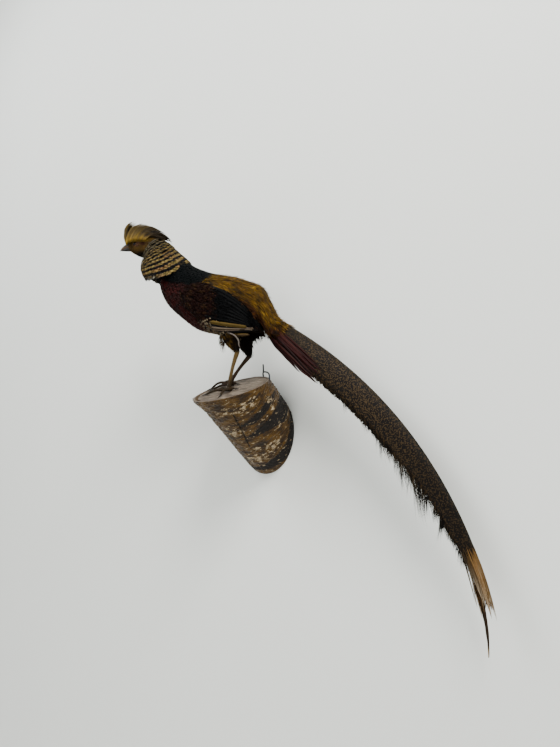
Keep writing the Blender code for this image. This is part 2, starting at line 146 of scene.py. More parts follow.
def body(along, turn):
    """The body with its feathers: along is 0 at the rump and 1 at the bill, and a quarter turn is the back."""
    return egg(BODY_ROWS, along, turn)


rump_end, bill_end = body(np.array((0.0, 1.0)), np.zeros(2))
print("body from", np.round(rump_end, 3), "to", np.round(bill_end, 3))

# %% [markdown]
# ## Which way a surface faces
#
# Feathers need three directions at their root: out of the skin, along the body and round it. They come
# from tiny steps on the surface, so the same function serves the body, a wing, a thigh or the ruff.

# %% Slopes and outward directions of any surface
STEP = 1e-3


def slopes(surface, along, turn):
    """The surface's change for one unit of each parameter, by central differences."""
    low, high = np.clip(along - STEP, 0, 1), np.clip(along + STEP, 0, 1)
    by_along = (surface(high, turn) - surface(low, turn)) / (high - low)[..., None]
    by_turn = (surface(along, turn + STEP) - surface(along, turn - STEP)) / (2 * STEP)
    return by_along, by_turn


def outwards(surface, along, turn):
    """The unit normal: the cross product of the slopes, turned away from the ring's middle."""
    by_along, by_turn = slopes(surface, along, turn)
    normal = unit(np.cross(by_along, by_turn))
    middle = (surface(along, turn) + surface(along, turn + math.pi)) / 2
    away = np.sum(normal * (surface(along, turn) - middle), axis=-1, keepdims=True)
    return normal * np.where(away < 0, -1.0, 1.0)


def ring_grid(surface, rings, sides, inset=None):
    """A grid of points over a closed tube, moved inwards by inset(along)."""
    along, turn = crossed(np.linspace(0, 1, rings), np.linspace(0, TURN, sides, False))
    points = surface(along, turn)
    return points if inset is None else points - outwards(surface, along, turn) * inset(along)[..., None]


# %% [markdown]
# ## Meshes from arrays
#
# A grid of points becomes a closed skin when neighbours are joined by triangles and each end gets one
# point in its middle. Blender takes whole arrays at once, which is far faster than adding faces.

# %% Faces of a closed tube and of many closed blades
def tube_faces(rings, sides):
    """Two triangles for each cell of the grid, joined round the tube, and a fan at each end."""
    i, k = crossed(np.arange(rings - 1), np.arange(sides))
    a, b = i * sides + k, i * sides + (k + 1) % sides
    c, d = b + sides, a + sides
    walls = np.concatenate([np.stack([a, b, c], -1).reshape(-1, 3),
        np.stack([a, c, d], -1).reshape(-1, 3)])
    k = np.arange(sides)
    after, low, high = (k + 1) % sides, rings * sides, rings * sides + 1
    first = np.stack([after, k, np.full(sides, low)], -1)
    last = np.stack([(rings - 1) * sides + k, (rings - 1) * sides + after, np.full(sides, high)], -1)
    return np.concatenate([walls, first, last])


def sheet_faces(rings, sides):
    """A tube's walls with both ends joined: the rows run down one side of a thin shell and up the other."""
    i, k = crossed(np.arange(rings), np.arange(sides))
    a, b = i * sides + k, i * sides + (k + 1) % sides
    c, d = (b + sides) % (rings * sides), (a + sides) % (rings * sides)
    return np.concatenate([np.stack([a, b, c], -1).reshape(-1, 3), np.stack([a, c, d], -1).reshape(-1, 3)])


def closed_tube(grid):
    """The points of a grid and the middle of each end, with their faces."""
    rings, sides = grid.shape[:2]
    points = np.concatenate([grid.reshape(-1, 3), grid[:1].mean(1), grid[-1:].mean(1)])
    return points, tube_faces(rings, sides)


def facing_out(points, faces):
    """Turns the faces round if the volume they enclose, a sum of small pyramids, comes out negative."""
    a, b, c = (points[faces[:, k]] for k in range(3))
    return faces[:, ::-1] if np.sum(a * np.cross(b, c)) < 0 else faces


def together(*parts):
    """Several sets of points and faces as one, each set's faces counted on from the last."""
    starts = np.cumsum([0] + [len(points) for points, _ in parts[:-1]])
    points = np.concatenate([points for points, _ in parts])
    return points, np.concatenate([facing_out(p, f) + s for (p, f), s in zip(parts, starts)])


# %% From arrays to an object that rides with the model
def make_piece(name, points, faces, finish, slot, replaces=(), **attributes):
    """A mesh object of triangles; attributes are one number, vector or colour for each point."""
    mesh = bpy.data.meshes.new(name)
    mesh.vertices.add(len(points))
    mesh.loops.add(faces.size)
    mesh.polygons.add(len(faces))
    mesh.vertices.foreach_set("co", np.ascontiguousarray(points, np.float32).ravel())
    mesh.loops.foreach_set("vertex_index", np.ascontiguousarray(faces, np.int32).ravel())
    mesh.polygons.foreach_set("loop_start", np.arange(0, faces.size, 3, dtype=np.int32))
    mesh.update(calc_edges=True)
    dress(mesh, **attributes)
    mesh.shade_smooth()
    mesh.materials.append(finish.material)
    made = bpy.data.objects.new(name, mesh)
    bpy.context.scene.collection.objects.link(made)
    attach(made, "root")
    if replaces:
        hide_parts(*replaces)
    print(f"{name}: {len(faces)} triangles")
    return made


def dress(mesh, **attributes):
    """Stores arrays on a mesh: OFBake as a UV map, colours with four channels, vectors with three."""
    for key, values in attributes.items():
        values = np.asarray(values, np.float32)
        if key == "OFBake":
            corner = np.empty(len(mesh.loops), np.int32)
            mesh.loops.foreach_get("vertex_index", corner)
            mesh.uv_layers.new(name=key).data.foreach_set("uv", values[corner].ravel())
        elif values.ndim == 1:
            mesh.attributes.new(key, "FLOAT", "POINT").data.foreach_set("value", values)
        elif key == "marking":
            values = np.concatenate([values, np.ones((len(values), 1), np.float32)], axis=1)
            mesh.attributes.new(key, "FLOAT_COLOR", "POINT").data.foreach_set("color", values.ravel())
        else:
            mesh.attributes.new(key, "FLOAT_VECTOR", "POINT").data.foreach_set("vector", values.ravel())


# %% [markdown]
# ## Chance that repeats
#
# No two feathers are alike, yet the model has to come out the same each time. Seeded generators and a
# small lattice of random numbers, blended smoothly between its points, give variety without surprise.

# %% Smooth noise on a lattice
LATTICE = default_rng(7).random((24, 24, 24))


def drift(points, size, seed=0):
    """Value noise from 0 to 1: the eight lattice values round a point, blended by soft fractions."""
    place = np.asarray(points, float) / size + 5.37 * seed + 100
    low = np.floor(place).astype(int)
    f = place - low
    f = f * f * (3 - 2 * f)
    total = 0
    for corner in np.ndindex(2, 2, 2):
        weight = np.prod(np.where(corner, f, 1 - f), axis=-1)
        i, j, k = np.moveaxis((low + corner) % 24, -1, 0)
        total = total + weight * LATTICE[i, j, k]
    return total


def drift_along(place, seed):
    """The same noise over one number."""
    return drift(np.stack([place, 0 * place, 0 * place], -1), 1.0, seed)


print("noise spreads over", round(float(drift(default_rng(1).random((999, 3)), 0.1).std()), 3))

# %% [markdown]
# ## Finishes written as sums
#
# A material is a small network of nodes. Wrapping a socket in a class lets the pattern be written as
# arithmetic: every operation adds its Math node. Any other node comes from one method, which takes the
# kind of node, its settings and the values or links of its sockets.

# %% A socket that can be added and multiplied
class Value:
    """One output of a node; operations on it add Math nodes."""

    def __init__(self, finish, socket):
        self.finish, self.socket = finish, socket

    def math(self, operation, *values):
        return self.finish.node("Math", {"operation": operation}, dict(enumerate(values)))

    def __add__(self, other):
        return self.math("ADD", self, other)

    def __sub__(self, other):
        return self.math("SUBTRACT", self, other)

    def __rsub__(self, other):
        return self.math("SUBTRACT", other, self)

    def __mul__(self, other):
        return self.math("MULTIPLY", self, other)

    def __truediv__(self, other):
        return self.math("DIVIDE", self, other)

    def __pow__(self, other):
        return self.math("POWER", self, other)

    def __abs__(self):
        return self.math("ABSOLUTE", self)

    __radd__, __rmul__ = __add__, __mul__

    def wave(self):
        """The sine of the value in turns, moved to the range 0 to 1."""
        return self.math("SINE", self * (TURN)) * 0.5 + 0.5

    def step(self, low, high):
        """A smooth step from 0 at low to 1 at high."""
        return self.finish.node("MapRange", {"interpolation_type": "SMOOTHSTEP"},
            {0: self, 1: low, 2: high})


# %% A material and the one method that adds its nodes
class Finish:
    """A Principled material; shine and even are the values that are the same all over the surface."""

    def __init__(self, name, shine=0.5, **even):
        self.material = bpy.data.materials.new(name)
        self.material.use_nodes = True
        self.tree = self.material.node_tree
        self.shader = self.tree.nodes["Principled BSDF"]
        for key, value in {"Specular IOR Level": shine, **even}.items():
            self.shader.inputs[key].default_value = value

    def node(self, kind, settings=None, inputs=None, output=0):
        """Adds a node of any kind: its settings first, then a value or a link for each socket."""
        made = self.tree.nodes.new("ShaderNode" + kind)
        for key, value in (settings or {}).items():
            if key == "stops":
                self.colour_stops(made.color_ramp, value)
            else:
                setattr(made, key, value)
        for key, value in (inputs or {}).items():
            if isinstance(value, Value):
                self.tree.links.new(value.socket, made.inputs[key])
            else:
                made.inputs[key].default_value = value
        return Value(self, made.outputs[output])

    def colour_stops(self, ramp, stops):
        """Places a ramp's colours: each stop is a position and a colour."""
        while len(ramp.elements) < len(stops):
            ramp.elements.new(0.5)
        for element, (position, colour) in zip(ramp.elements, stops):
            element.position, element.color = position, (*colour, 1)

    def ramp(self, factor, *stops):
        return self.node("ValToRGB", {"stops": stops}, {0: factor})

    def mix(self, factor, first, second, blend="MIX"):
        """first where factor is 0, second where it is 1."""
        first, second = (v if isinstance(v, Value) else (*v, 1) for v in (first, second))
        return self.node("Mix", {"data_type": "RGBA", "blend_type": blend},
            {0: factor, 6: first, 7: second}, 2)

    def held(self, name, output="Vector"):
        """An attribute stored on the mesh."""
        return self.node("Attribute", {"attribute_name": name}, {}, output)

    def parts(self, vector):
        split = self.node("SeparateXYZ", {}, {0: vector})
        return [Value(self, out) for out in split.socket.node.outputs]

    def place(self):
        """The point's own place on the finished object, in metres."""
        return self.node("TexCoord", {}, {}, "Object")

    def stretched(self, vector, scale):
        return self.node("Mapping", {}, {0: vector, 3: scale})

    def noise(self, vector, scale, detail=3.0, rough=0.55):
        return self.node("TexNoise", {}, {"Vector": vector, "Scale": scale, "Detail": detail,
            "Roughness": rough})

    def cells(self, vector, scale, feature="F1", output="Distance"):
        return self.node("TexVoronoi", {"feature": feature}, {"Vector": vector, "Scale": scale}, output)

    def wear(self, colour=None, roughness=None, height=None, depth=0.0005, strength=1.0):
        """Feeds what varies to the shader: colour, roughness and a bump of this depth in metres."""
        if colour is not None:
            self.tree.links.new(colour.socket, self.shader.inputs["Base Color"])
        if roughness is not None:
            self.tree.links.new(roughness.socket, self.shader.inputs["Roughness"])
        if height is not None:
            bump = self.node("Bump", {}, {"Strength": strength, "Distance": depth, "Height": height})
            self.tree.links.new(bump.socket, self.shader.inputs["Normal"])
        return self.material


# %% [markdown]
# ## The cock's markings
#
# The coat changes colour along clear lines: gold over the back, blue-black below the ruff, crimson on
# the breast and dark mottling on the flank. The lines are written once, as functions of a place on the
# bird seen from its side, and both the skin and every feather ask them, so the two always agree.

# %% Paints and the lines where they meet
PAINT = {
    "gold": (0.2, 0.104, 0.007),
    "straw": (0.185, 0.132, 0.042),
    "orange": (0.05, 0.0075, 0.0016),
    "crimson": (0.03, 0.0012, 0.0008),
    "flank": (0.006, 0.0014, 0.0008),
    "speckle": (0.15, 0.084, 0.027),
    "mantle": (0.0004, 0.0008, 0.0011),
    "face": (0.06, 0.033, 0.0065),
    "crown": (0.13, 0.077, 0.0055),
    "chin": (0.005, 0.003, 0.0014),
    "ear": (0.018, 0.0032, 0.002),
    "eyelid": (0.072, 0.032, 0.018),
    "vent": (0.0014, 0.0009, 0.0008),
    "thigh": (0.085, 0.046, 0.0095),
    "thigh_top": (0.006, 0.0032, 0.002),
    "leg": (0.105, 0.064, 0.0155),
}
GOLD_LINE = mm((
    (-93, 98), (-50, 112), (-28, 135), (-7, 150), (11, 156), (31, 168), (49, 184), (75, 197),
))
GOLD_FRONT = mm((
    (180, 80), (195, 72), (208, 62), (221, 59),
))
MANTLE_LINE = mm((
    (55, 205), (70, 195), (90, 185), (104, 193), (143, 205), (150, 215),
))


def height_over(line, x, z):
    """How far a place lies above a line that is given by its corners."""
    return z - np.interp(x, *line.T)


def painted(paint, count):
    """One colour, a name in PAINT or a colour itself, for each of count places."""
    return np.tile(PAINT.get(paint, paint), (count, 1))


def blend(base, paint, share):
    """Moves each colour towards a paint by its share."""
    return base + (np.array(PAINT[paint]) - base) * np.asarray(share)[:, None]


def is_gold(p):
    """1 above the gold's lower line and behind its front edge."""
    front = np.interp(p[:, 2], *GOLD_FRONT.T) - p[:, 0]
    return soft(-0.005, 0.004, height_over(GOLD_LINE, p[:, 0], p[:, 2])) * soft(-0.004, 0.004, front)


def is_mantle(p):
    """1 above the mantle's lower line, from the shoulder forwards."""
    return soft(-0.004, 0.004, height_over(MANTLE_LINE, p[:, 0], p[:, 2])) * soft(0.045, 0.055, p[:, 0])


def lengthways(p):
    """Places squeezed along the way the back's feathers lie, so that noise over them makes long streaks."""
    way = np.array((-0.8, 0.0, -0.6))
    return p - 0.78 * (p @ way)[:, None] * way


def is_vent(p):
    """1 behind the thighs and below the rump."""
    return soft(0.02, 0.006, p[:, 0]) * soft(0.145, 0.12, p[:, 2])


def plumage(p):
    """The colour at places of the bird's frame, (n, 3): each paint is laid over the last by its mask."""
    x, y, z = p.T
    clump = drift(p, 0.011, 1)
    colour = painted("flank", len(p))
    red = soft(0.035, 0.11, x + (clump - 0.5) * 0.04)
    colour = blend(colour, "crimson", red * (0.35 + 0.65 * soft(0.35, 0.6, clump)))
    low = soft(0.132, 0.106, z) * soft(0.078, 0.05, x) * soft(0.0, 0.015, x)
    colour = blend(colour, "speckle", low * soft(0.5, 0.58, drift(p, 0.003, 2)))
    colour = blend(colour, "speckle", 0.06 * soft(0.12, 0.07, x) * soft(0.58, 0.68, drift(p, 0.004, 3)))
    colour = blend(colour, "vent", is_vent(p))
    colour = blend(colour, "mantle", is_mantle(p))
    gold = is_gold(p)
    colour = blend(colour, "gold", gold)
    edge = soft(0.026, 0.006, height_over(GOLD_LINE, x, z)) * soft(0.035, 0.0, x)
    colour = blend(colour, "orange", gold * 0.9 * edge)
    colour = blend(colour, "orange", gold * 0.35 * soft(0.6, 0.75, drift(p, 0.008, 4)))
    head = soft(0.158, 0.166, x) * soft(0.24, 0.252, z)
    return colour * (1 - head[:, None]) + face_colour(p) * head[:, None]


EYE = np.array((0.2195, 0.0098, 0.2855))


def face_colour(p):
    """Tan cheeks under a golden crown, dark chin and ear patch, and a ring of bare skin round the eye."""
    x, y, z = p.T
    colour = painted("face", len(p)) * (0.65 + 0.7 * drift(p, 0.004, 5))[:, None]
    colour = blend(colour, "crown", soft(0.2875, 0.2925, z) * (0.12 + 0.88 * soft(0.19, 0.204, x)))
    colour = blend(colour, "chin", soft(0.2745, 0.2665, z + (x - 0.2) * 0.05))
    ear = np.hypot((x - 0.2037) / 0.006, (z - 0.285) / 0.0045)
    colour = blend(colour, "ear", 0.85 * soft(1.2, 0.6, ear))
    lid = np.hypot((x - EYE[0] + 0.0015) / 0.0085, (z - EYE[2]) / 0.0062)
    return blend(colour, "eyelid", 0.8 * soft(1.15, 0.7, lid))


for spot, place in {"breast": (0.14, 0.03, 0.19), "back": (0.0, 0.01, 0.2),
    "flank": (0.04, 0.045, 0.14)}.items():
    print(spot, np.round(plumage(np.array([place]))[0], 3))

# %% [markdown]
# ## Limbs, wings and the skin over them
#
# A limb is a round profile carried along a path. A folded wing is a flat blade along the flank. The
# stuffed bird has one skin over all of these, so the separate forms are drawn a little inside the plain
# model, by the depth of the coat, and a voxel remesh welds them into one closed surface. Sculpting
# could do it too, but the remesh keeps every measure.

# %% A round profile along a path
def limb(rows):
    """Rows of forward, left, up and radius; the ring stands square to the path's direction."""

    def surface(along, turn):
        along = np.clip(along, 0, 1)
        ahead = through(rows, np.clip(along + 0.01, 0, 1)) - through(rows, np.clip(along - 0.01, 0, 1))
        ahead = unit(ahead[..., :3])
        aside = unit(np.array((0.0, 1.0, 0.0)) - ahead * ahead[..., 1:2])
        above = np.cross(ahead, aside)
        v = through(rows, along)
        ring = np.cos(turn)[..., None] * aside + np.sin(turn)[..., None] * above
        return v[..., :3] + v[..., 3:] * ring

    return surface


def from_tip(form):
    """The same form with its length counted from the other end."""
    return lambda along, turn: form(1 - along, turn)


def quarter_towards(form, axis):
    """The quarter turn, left or right of a limb's start, whose side lies further along an axis."""
    there, back = form(np.full(2, 0.5), np.array((math.pi / 2, -math.pi / 2)))[:, axis]
    return math.pi / 2 if there > back else -math.pi / 2


# %% Legs, toes and claws over the sawn face
SIDES = {"left": 1, "right": -1}
LEGS = {
    "left": {"hip": (0.014, 0.028, 0.128), "hock": (-0.009, 0.022, 0.064), "sole": (-0.001, 0.018)},
    "right": {"hip": (-0.008, -0.028, 0.128), "hock": (-0.0215, -0.022, 0.067), "sole": (0.006, -0.022)},
}
TOES = {
    "left": ((-0.1, 0.046, 0.004), (1.25, 0.029, 0.005), (-0.62, 0.034, 0.004), (3.3, 0.008, 0.002)),
    "right": ((-0.04, 0.042, 0.0085), (0.22, 0.036, 0.004), (-0.7, 0.032, 0.006), (2.9, 0.008, 0.002)),
}


def on_face(forward, left, rise):
    """Points this high above the sawn face, in the bird's frame."""
    up = -(FACE_IN_BIRD[0] * forward + FACE_IN_BIRD[1] * left) / FACE_IN_BIRD[2]
    return np.stack([forward, left, up], -1) + np.asarray(rise)[..., None] * FACE_IN_BIRD


def thigh(name):
    """From hip to hock, tapering, with its middle a little forward of the straight line."""
    hip, hock = np.array(LEGS[name]["hip"]), np.array(LEGS[name]["hock"])
    middle = (hip + hock) / 2 + (0.005, 0, 0)
    return limb(((*hip, 0.021), (*middle, 0.0165), (*hock, 0.0048)))


def shank(name):
    """From the hock down to just above the sole, thinnest half-way."""
    hock = np.array(LEGS[name]["hock"])
    ankle = on_face(*np.array(LEGS[name]["sole"]), 0.012)
    middle = (hock + ankle) / 2 + (0.0015, 0, 0)
    return limb(((*hock, 0.0046), (*middle, 0.0031), (*ankle, 0.0036)))


def pad(name):
    """The short stub that the toes leave from."""
    forward, left = LEGS[name]["sole"]
    rows = np.array([on_face(forward, left, 0.013), on_face(forward + 0.002, left, 0.0044)])
    return limb(np.column_stack([rows, (0.0038, 0.0046)]))


def toe(name, spread, length, arch, claw=False):
    """A toe arches over the wood; its claw goes on from the tip in the same direction."""
    reach = np.linspace(1.0, 1.1 + 0.006 / length, 5) if claw else np.linspace(0, 1, 9)
    if claw:
        rise = 0.0028 - 0.0014 * np.linspace(0, 1, 5) ** 2
        radius = (0.0017, 0.0015, 0.0011, 0.0008, 0.0002)
    else:
        rise = 0.0027 + arch * np.sin(math.pi * reach**1.1)
        radius = 0.0024 * (1.25 - 0.5 * reach)
    forward, left = LEGS[name]["sole"]
    ahead, aside = math.cos(spread) * length * reach, math.sin(spread) * length * reach
    return limb(np.column_stack([on_face(forward + ahead, left + aside, rise), radius]))


# %% A folded wing
WING_LINE = mm((
    (110, 183), (84, 170), (45, 151), (6, 132), (-28, 115), (-53, 100.5),
))
WING_SIZES = mm((
    (6, 34, 4), (24, 40, 10), (37, 41.5, 12.5), (34, 39.5, 11.5), (21, 35, 8), (3, 29, 2),
))


def wing(side, grow=0.0):
    """Half height, distance from the middle and thickness along a line from shoulder to tip."""

    def surface(along, turn):
        along = np.clip(along, 0, 1)
        lift = 0.01 * along[..., None] ** 2 * (side < 0)
        ahead = through(WING_LINE, np.clip(along + 0.01, 0, 1)) - through(WING_LINE,
            np.clip(along - 0.01, 0, 1))
        ahead = unit(ahead)
        line = through(WING_LINE, along) + lift
        high, out, thick = np.moveaxis(through(WING_SIZES, along), -1, 0)
        rise = np.sin(turn) * (high + grow * soft(0.2, -0.6, np.sin(turn)))
        x, z = line[..., 0] + rise * ahead[..., 1], line[..., 1] - rise * ahead[..., 0]
        return np.stack([x, side * (out + np.cos(turn) * thick), z], -1)

    return surface


sample = wing(1)(np.array([0.3, 0.3]), np.array([math.pi / 2, -math.pi / 2]))
print("wing's upper and lower edge:", np.round(sample, 3).tolist())

# %% The forms under the skin, drawn inside the outline by the coat's depth
def eyelid(side):
    """A small ring round the eye: a round profile carried once round the eyeball."""
    turn, tube = crossed(np.linspace(0, TURN, 29), np.linspace(0, TURN, 9)[:-1])
    reach = 0.0041 + 0.0008 * np.cos(tube)
    x, z = reach * np.cos(turn) * 1.08, reach * np.sin(turn) * 0.86
    y = side * (0.0118 + 0.0008 * np.sin(tube) - 0.02 * x)
    return np.stack([EYE[0] + x, y, EYE[2] + z], -1)


COAT_DEPTH = (
    (0, 0.1, 0.25, 0.55, 0.68, 0.73, 0.8, 1),
    (0.003, 0.005, 0.005, 0.004, 0.003, 0.0018, 0.0012, 0.0007),
)


def body_depth(along):
    """The coat is deep on the rump and trunk and very short on the face."""
    return np.interp(along, *COAT_DEPTH)


forms = [closed_tube(ring_grid(body, 150, 120, body_depth))]
for name, side in SIDES.items():
    forms.append(closed_tube(ring_grid(wing(side), 70, 60, lambda along: 0.0022 + 0 * along)))
    forms.append(closed_tube(ring_grid(thigh(name), 40, 48, lambda along: 0.0035 - 0.0027 * along)))
    forms.append(closed_tube(ring_grid(shank(name), 40, 40)))
    forms.append(closed_tube(ring_grid(pad(name), 12, 32)))
    forms += [closed_tube(ring_grid(toe(name, *shape), 30, 24)) for shape in TOES[name]]
    forms.append(closed_tube(eyelid(side)))
points, faces = together(*forms)
print(len(forms), "forms,", len(faces), "triangles before they are welded")

# %% Weld them with a remesh and smooth the steps it leaves
def welded(points, faces, voxel, rounds):
    """The outer surface of overlapping forms, as a voxel remesh, relaxed by a Smooth modifier."""
    mesh = bpy.data.meshes.new("forms")
    mesh.from_pydata(points.tolist(), [], faces.tolist())
    carrier = bpy.data.objects.new("forms", mesh)
    bpy.context.scene.collection.objects.link(carrier)
    remesh = carrier.modifiers.new("weld", "REMESH")
    remesh.mode, remesh.voxel_size = "VOXEL", voxel
    smooth = carrier.modifiers.new("relax", "SMOOTH")
    smooth.factor, smooth.iterations = 0.5, rounds
    result = bpy.data.meshes.new_from_object(carrier.evaluated_get(bpy.context.evaluated_depsgraph_get()))
    bpy.data.objects.remove(carrier)
    result.calc_loop_triangles()
    places = np.empty(len(result.vertices) * 3, np.float32)
    result.vertices.foreach_get("co", places)
    corners = np.empty(len(result.loop_triangles) * 3, np.int32)
    result.loop_triangles.foreach_get("vertices", corners)
    bpy.data.meshes.remove(result)
    return places.reshape(-1, 3).astype(float), corners.reshape(-1, 3)


SKIN_VOXEL = 0.00125
skin_points, skin_faces = welded(points, faces, SKIN_VOXEL, 5)
print("skin:", len(skin_points), "points,", len(skin_faces), "triangles")

# %% [markdown]
# ## The skin's finish
#
# The skin is dry and finely pimpled where feathers grow, and on the legs it is hard and scaly. One mask
# stored on the mesh tells the two apart, and the colours come from the same markings as the coat.

# %% The skin's finish and the skin
skin_look = Finish("bird_skin", 0.12)
legs = skin_look.held("leg", "Fac")
spot = skin_look.place()
pimples = skin_look.cells(spot, 900.0)
scale_edge = skin_look.cells(spot, 420.0, "DISTANCE_TO_EDGE")
grain = skin_look.noise(spot, 260.0, 4.0)
worn = skin_look.mix(grain * 0.6, skin_look.held("marking", "Color"), (0.006, 0.004, 0.003))
scaly = skin_look.mix((0.22 - scale_edge.step(0.0, 0.1) * 0.22) * legs * 3, worn, (0.05, 0.028, 0.012))
skin_look.wear(scaly, 0.78 - legs * 0.32, pimples * 0.4 + scale_edge.step(0.0, 0.12) * legs, 0.0003)


def leg_colour(p):
    """The near leg is ochre and the far one brown, a painted shade for the far leg in shadow; both darken to
    the toes.
    """
    near = soft(-0.004, 0.004, p[:, 1])[:, None]
    # the far leg's darker brown is painted shade, for the leg that stands in shadow
    base = np.array(PAINT["leg"]) * near + (0.03, 0.013, 0.0045) * (1 - near)
    dusk = 0.16 + 0.84 * soft(0.004, 0.024, p[:, 2])
    return base * dusk[:, None] * (0.75 + 0.5 * drift(p, 0.006, 6))[:, None]


bare = soft(0.068, 0.06, skin_points[:, 2])
skin_colour = plumage(skin_points) * (1 - bare[:, None]) + leg_colour(skin_points) * bare[:, None]
PAIRED = ("wing", "thigh", "shank", "foot")
FLESH = ["head", "neck", "trunk", "rump"] + [f"{part}_{name}" for part in PAIRED for name in SIDES]
make_piece("skin", to_wall(skin_points), skin_faces, skin_look, "head_feathers", FLESH,
    marking=skin_colour, leg=bare)

# %% [markdown]
# ## One way to make every feather
#
# A feather is a thin blade along a spine. Each ring of it has four points: the left edge, the top of the
# shaft, the right edge and the underside, and both ends close in a point. Thousands of blades share one
# list of faces, so the whole coat is arithmetic on arrays.

# %% Blades along spines
def blades(spine, facing, half, thick=0.00025, camber=0.2):
    """Edges stand half to each side of each spine, square to where it faces, and hang by the camber."""
    count, rings = spine.shape[:2]
    ahead = unit(np.gradient(spine, axis=1))
    side = unit(np.cross(facing, ahead))
    above = np.cross(ahead, side)
    middle, half = slice(1, rings - 1), half[:, 1:-1, None]
    drop = above[:, middle] * camber * half
    centre, edge, rise = spine[:, middle], side[:, middle] * half, above[:, middle] * thick / 2
    ring = np.stack([centre - edge - drop, centre + rise, centre + edge - drop,
        centre - rise - drop * 0.3], axis=2)
    body_points = ring.reshape(count, -1, 3)
    points = np.concatenate([body_points, spine[:, :1], spine[:, -1:]], axis=1)
    faces = tube_faces(rings - 2, 4)
    starts = np.arange(count)[:, None, None] * points.shape[1]
    faces = (faces[None] + starts).reshape(-1, 3)
    points = points.reshape(-1, 3)
    return points, facing_out(points, faces)


def along_blades(values):
    """One value for each ring (n, m) or feather (n,), given to each of a blade's points."""
    values = np.asarray(values, float)
    inner = np.repeat(values[:, 1:-1], 4, axis=1)
    return np.concatenate([inner, values[:, :1], values[:, -1:]], axis=1)


def quills(count, rings, chance):
    """Across (-1 to 1), along (0 to 1) and a random number, for every point of every blade."""
    share = np.broadcast_to(np.linspace(0, 1, rings), (count, rings))
    along = along_blades(share)
    across = np.concatenate([np.tile((-1.0, 0.0, 1.0, 0.0), rings - 2), (0.0, 0.0)])
    across = np.broadcast_to(across, along.shape)
    return np.stack([across, along, np.broadcast_to(chance[:, None], along.shape)], -1).reshape(-1, 3)


def coat_map(roots, quill, per_blade):
    """OFBake: a patch 0.003 across for each feather at its root's place on the unwrapped form."""
    spread = np.repeat(roots, per_blade, axis=0)
    return 0.01 + 0.98 * spread + 0.003 * np.stack([quill[:, 0] / 2, quill[:, 1] - 0.5], -1)


# %% Roots in staggered rows over a form, and feathers that lie along it
def roots_on(surface, spacing, seed, stretch=1.0, limits=(0.0, 1.0)):
    """Rows a spacing apart along the form, each with as many roots as fit round it, half a step aside."""
    chance = default_rng(seed)
    fine = np.linspace(*limits, 400)
    middle = (surface(fine, 0 * fine + math.pi / 2) + surface(fine, 0 * fine - math.pi / 2)) / 2
    length = np.concatenate([[0], np.cumsum(np.linalg.norm(np.diff(middle, axis=0), axis=1))])
    rows = np.interp(np.arange(spacing / 2, length[-1], spacing * stretch), length, fine)
    turn = np.linspace(0, TURN, 41)
    ring = surface(np.repeat(rows, 41).reshape(-1, 41), np.broadcast_to(turn, (len(rows), 41)))
    around = np.linalg.norm(np.diff(ring, axis=1), axis=2).sum(1)
    counts = np.maximum((around / spacing).astype(int), 3)
    row = np.repeat(np.arange(len(rows)), counts)
    place = np.arange(counts.sum()) - np.repeat(np.cumsum(counts) - counts, counts)
    share = (place + 0.5 * (row % 2) + chance.uniform(-0.3, 0.3, len(row))) / counts[row]
    gap = (limits[1] - limits[0]) / max(len(rows), 1)
    along = np.clip(rows[row] + chance.uniform(-0.3, 0.3, len(row)) * gap, *limits)
    # equal shares of the ring's length, not of its angle
    arc = np.concatenate([np.zeros((len(rows), 1)), np.cumsum(np.linalg.norm(np.diff(ring, axis=1),
        axis=2), axis=1)], axis=1)
    arc = arc / arc[:, -1:]
    wanted = share % 1
    cell = np.clip((arc[row] <= wanted[:, None]).sum(1) - 1, 0, 39)
    low, high = arc[row, cell], arc[row, cell + 1]
    angle = turn[cell] + (turn[cell + 1] - turn[cell]) * (wanted - low) / np.maximum(high - low, 1e-9)
    return along, angle


def beyond(surface, along, turn):
    """The surface, carried straight on past its ends."""
    inside = np.clip(along, 0.0005, 0.9995)
    ahead = slopes(surface, inside, turn)[0]
    return surface(inside, turn) + ahead * (along - inside)[..., None]


LEAF = ((0, 0.15, 0.45, 0.75, 0.9, 1), (0.35, 0.75, 1.0, 0.95, 0.6, 0.0))
HAIR = ((0, 0.15, 0.5, 0.8, 1), (0.5, 1.0, 0.8, 0.4, 0.0))


def feathers_on(surface, along, turn, length, width, root=0.004, tip=0.0003, lean=0.0, rings=6, shape=LEAF,
        camber=0.2, pull=None, crowd=1.0):
    """Each spine runs over the surface, from its root below the outline to its tip just over it."""
    count = len(along)
    length, width, root, tip, lean = (np.broadcast_to(np.asarray(v, float), (count,))
        for v in (length, width, root, tip, lean))
    by_along, by_turn = slopes(surface, along, turn)
    out = outwards(surface, along, turn)
    lie = unit(-by_along)
    side = unit(np.cross(out, lie))
    way = lie * np.cos(lean)[:, None] + side * np.sin(lean)[:, None]
    if pull is not None:
        way = way + np.asarray(pull, float) * np.ones((count, 3))
        way = unit(way - out * np.sum(way * out, axis=1, keepdims=True))
    aa, bb, ab = (np.sum(u * v, axis=1) for u, v in ((by_along, by_along), (by_turn, by_turn),
        (by_along, by_turn)))
    wa, wb = np.sum(way * by_along, axis=1), np.sum(way * by_turn, axis=1)
    det = np.maximum(aa * bb - ab**2, 1e-12)
    share = 1 - (1 - np.linspace(0, 1, rings)) ** crowd
    path_along = along[:, None] + ((wa * bb - wb * ab) / det * length)[:, None] * share
    path_turn = turn[:, None] + ((wb * aa - wa * ab) / det * length)[:, None] * share
    spine = beyond(surface, path_along, path_turn)
    facing = outwards(surface, np.clip(path_along, 0.0005, 0.9995), path_turn)
    height = -root[:, None] * (1 - share) ** 1.3 + tip[:, None] * share**2
    half = np.interp(share, *shape) * width[:, None] / 2
    return blades(spine + facing * height[..., None], facing, half, camber=camber)


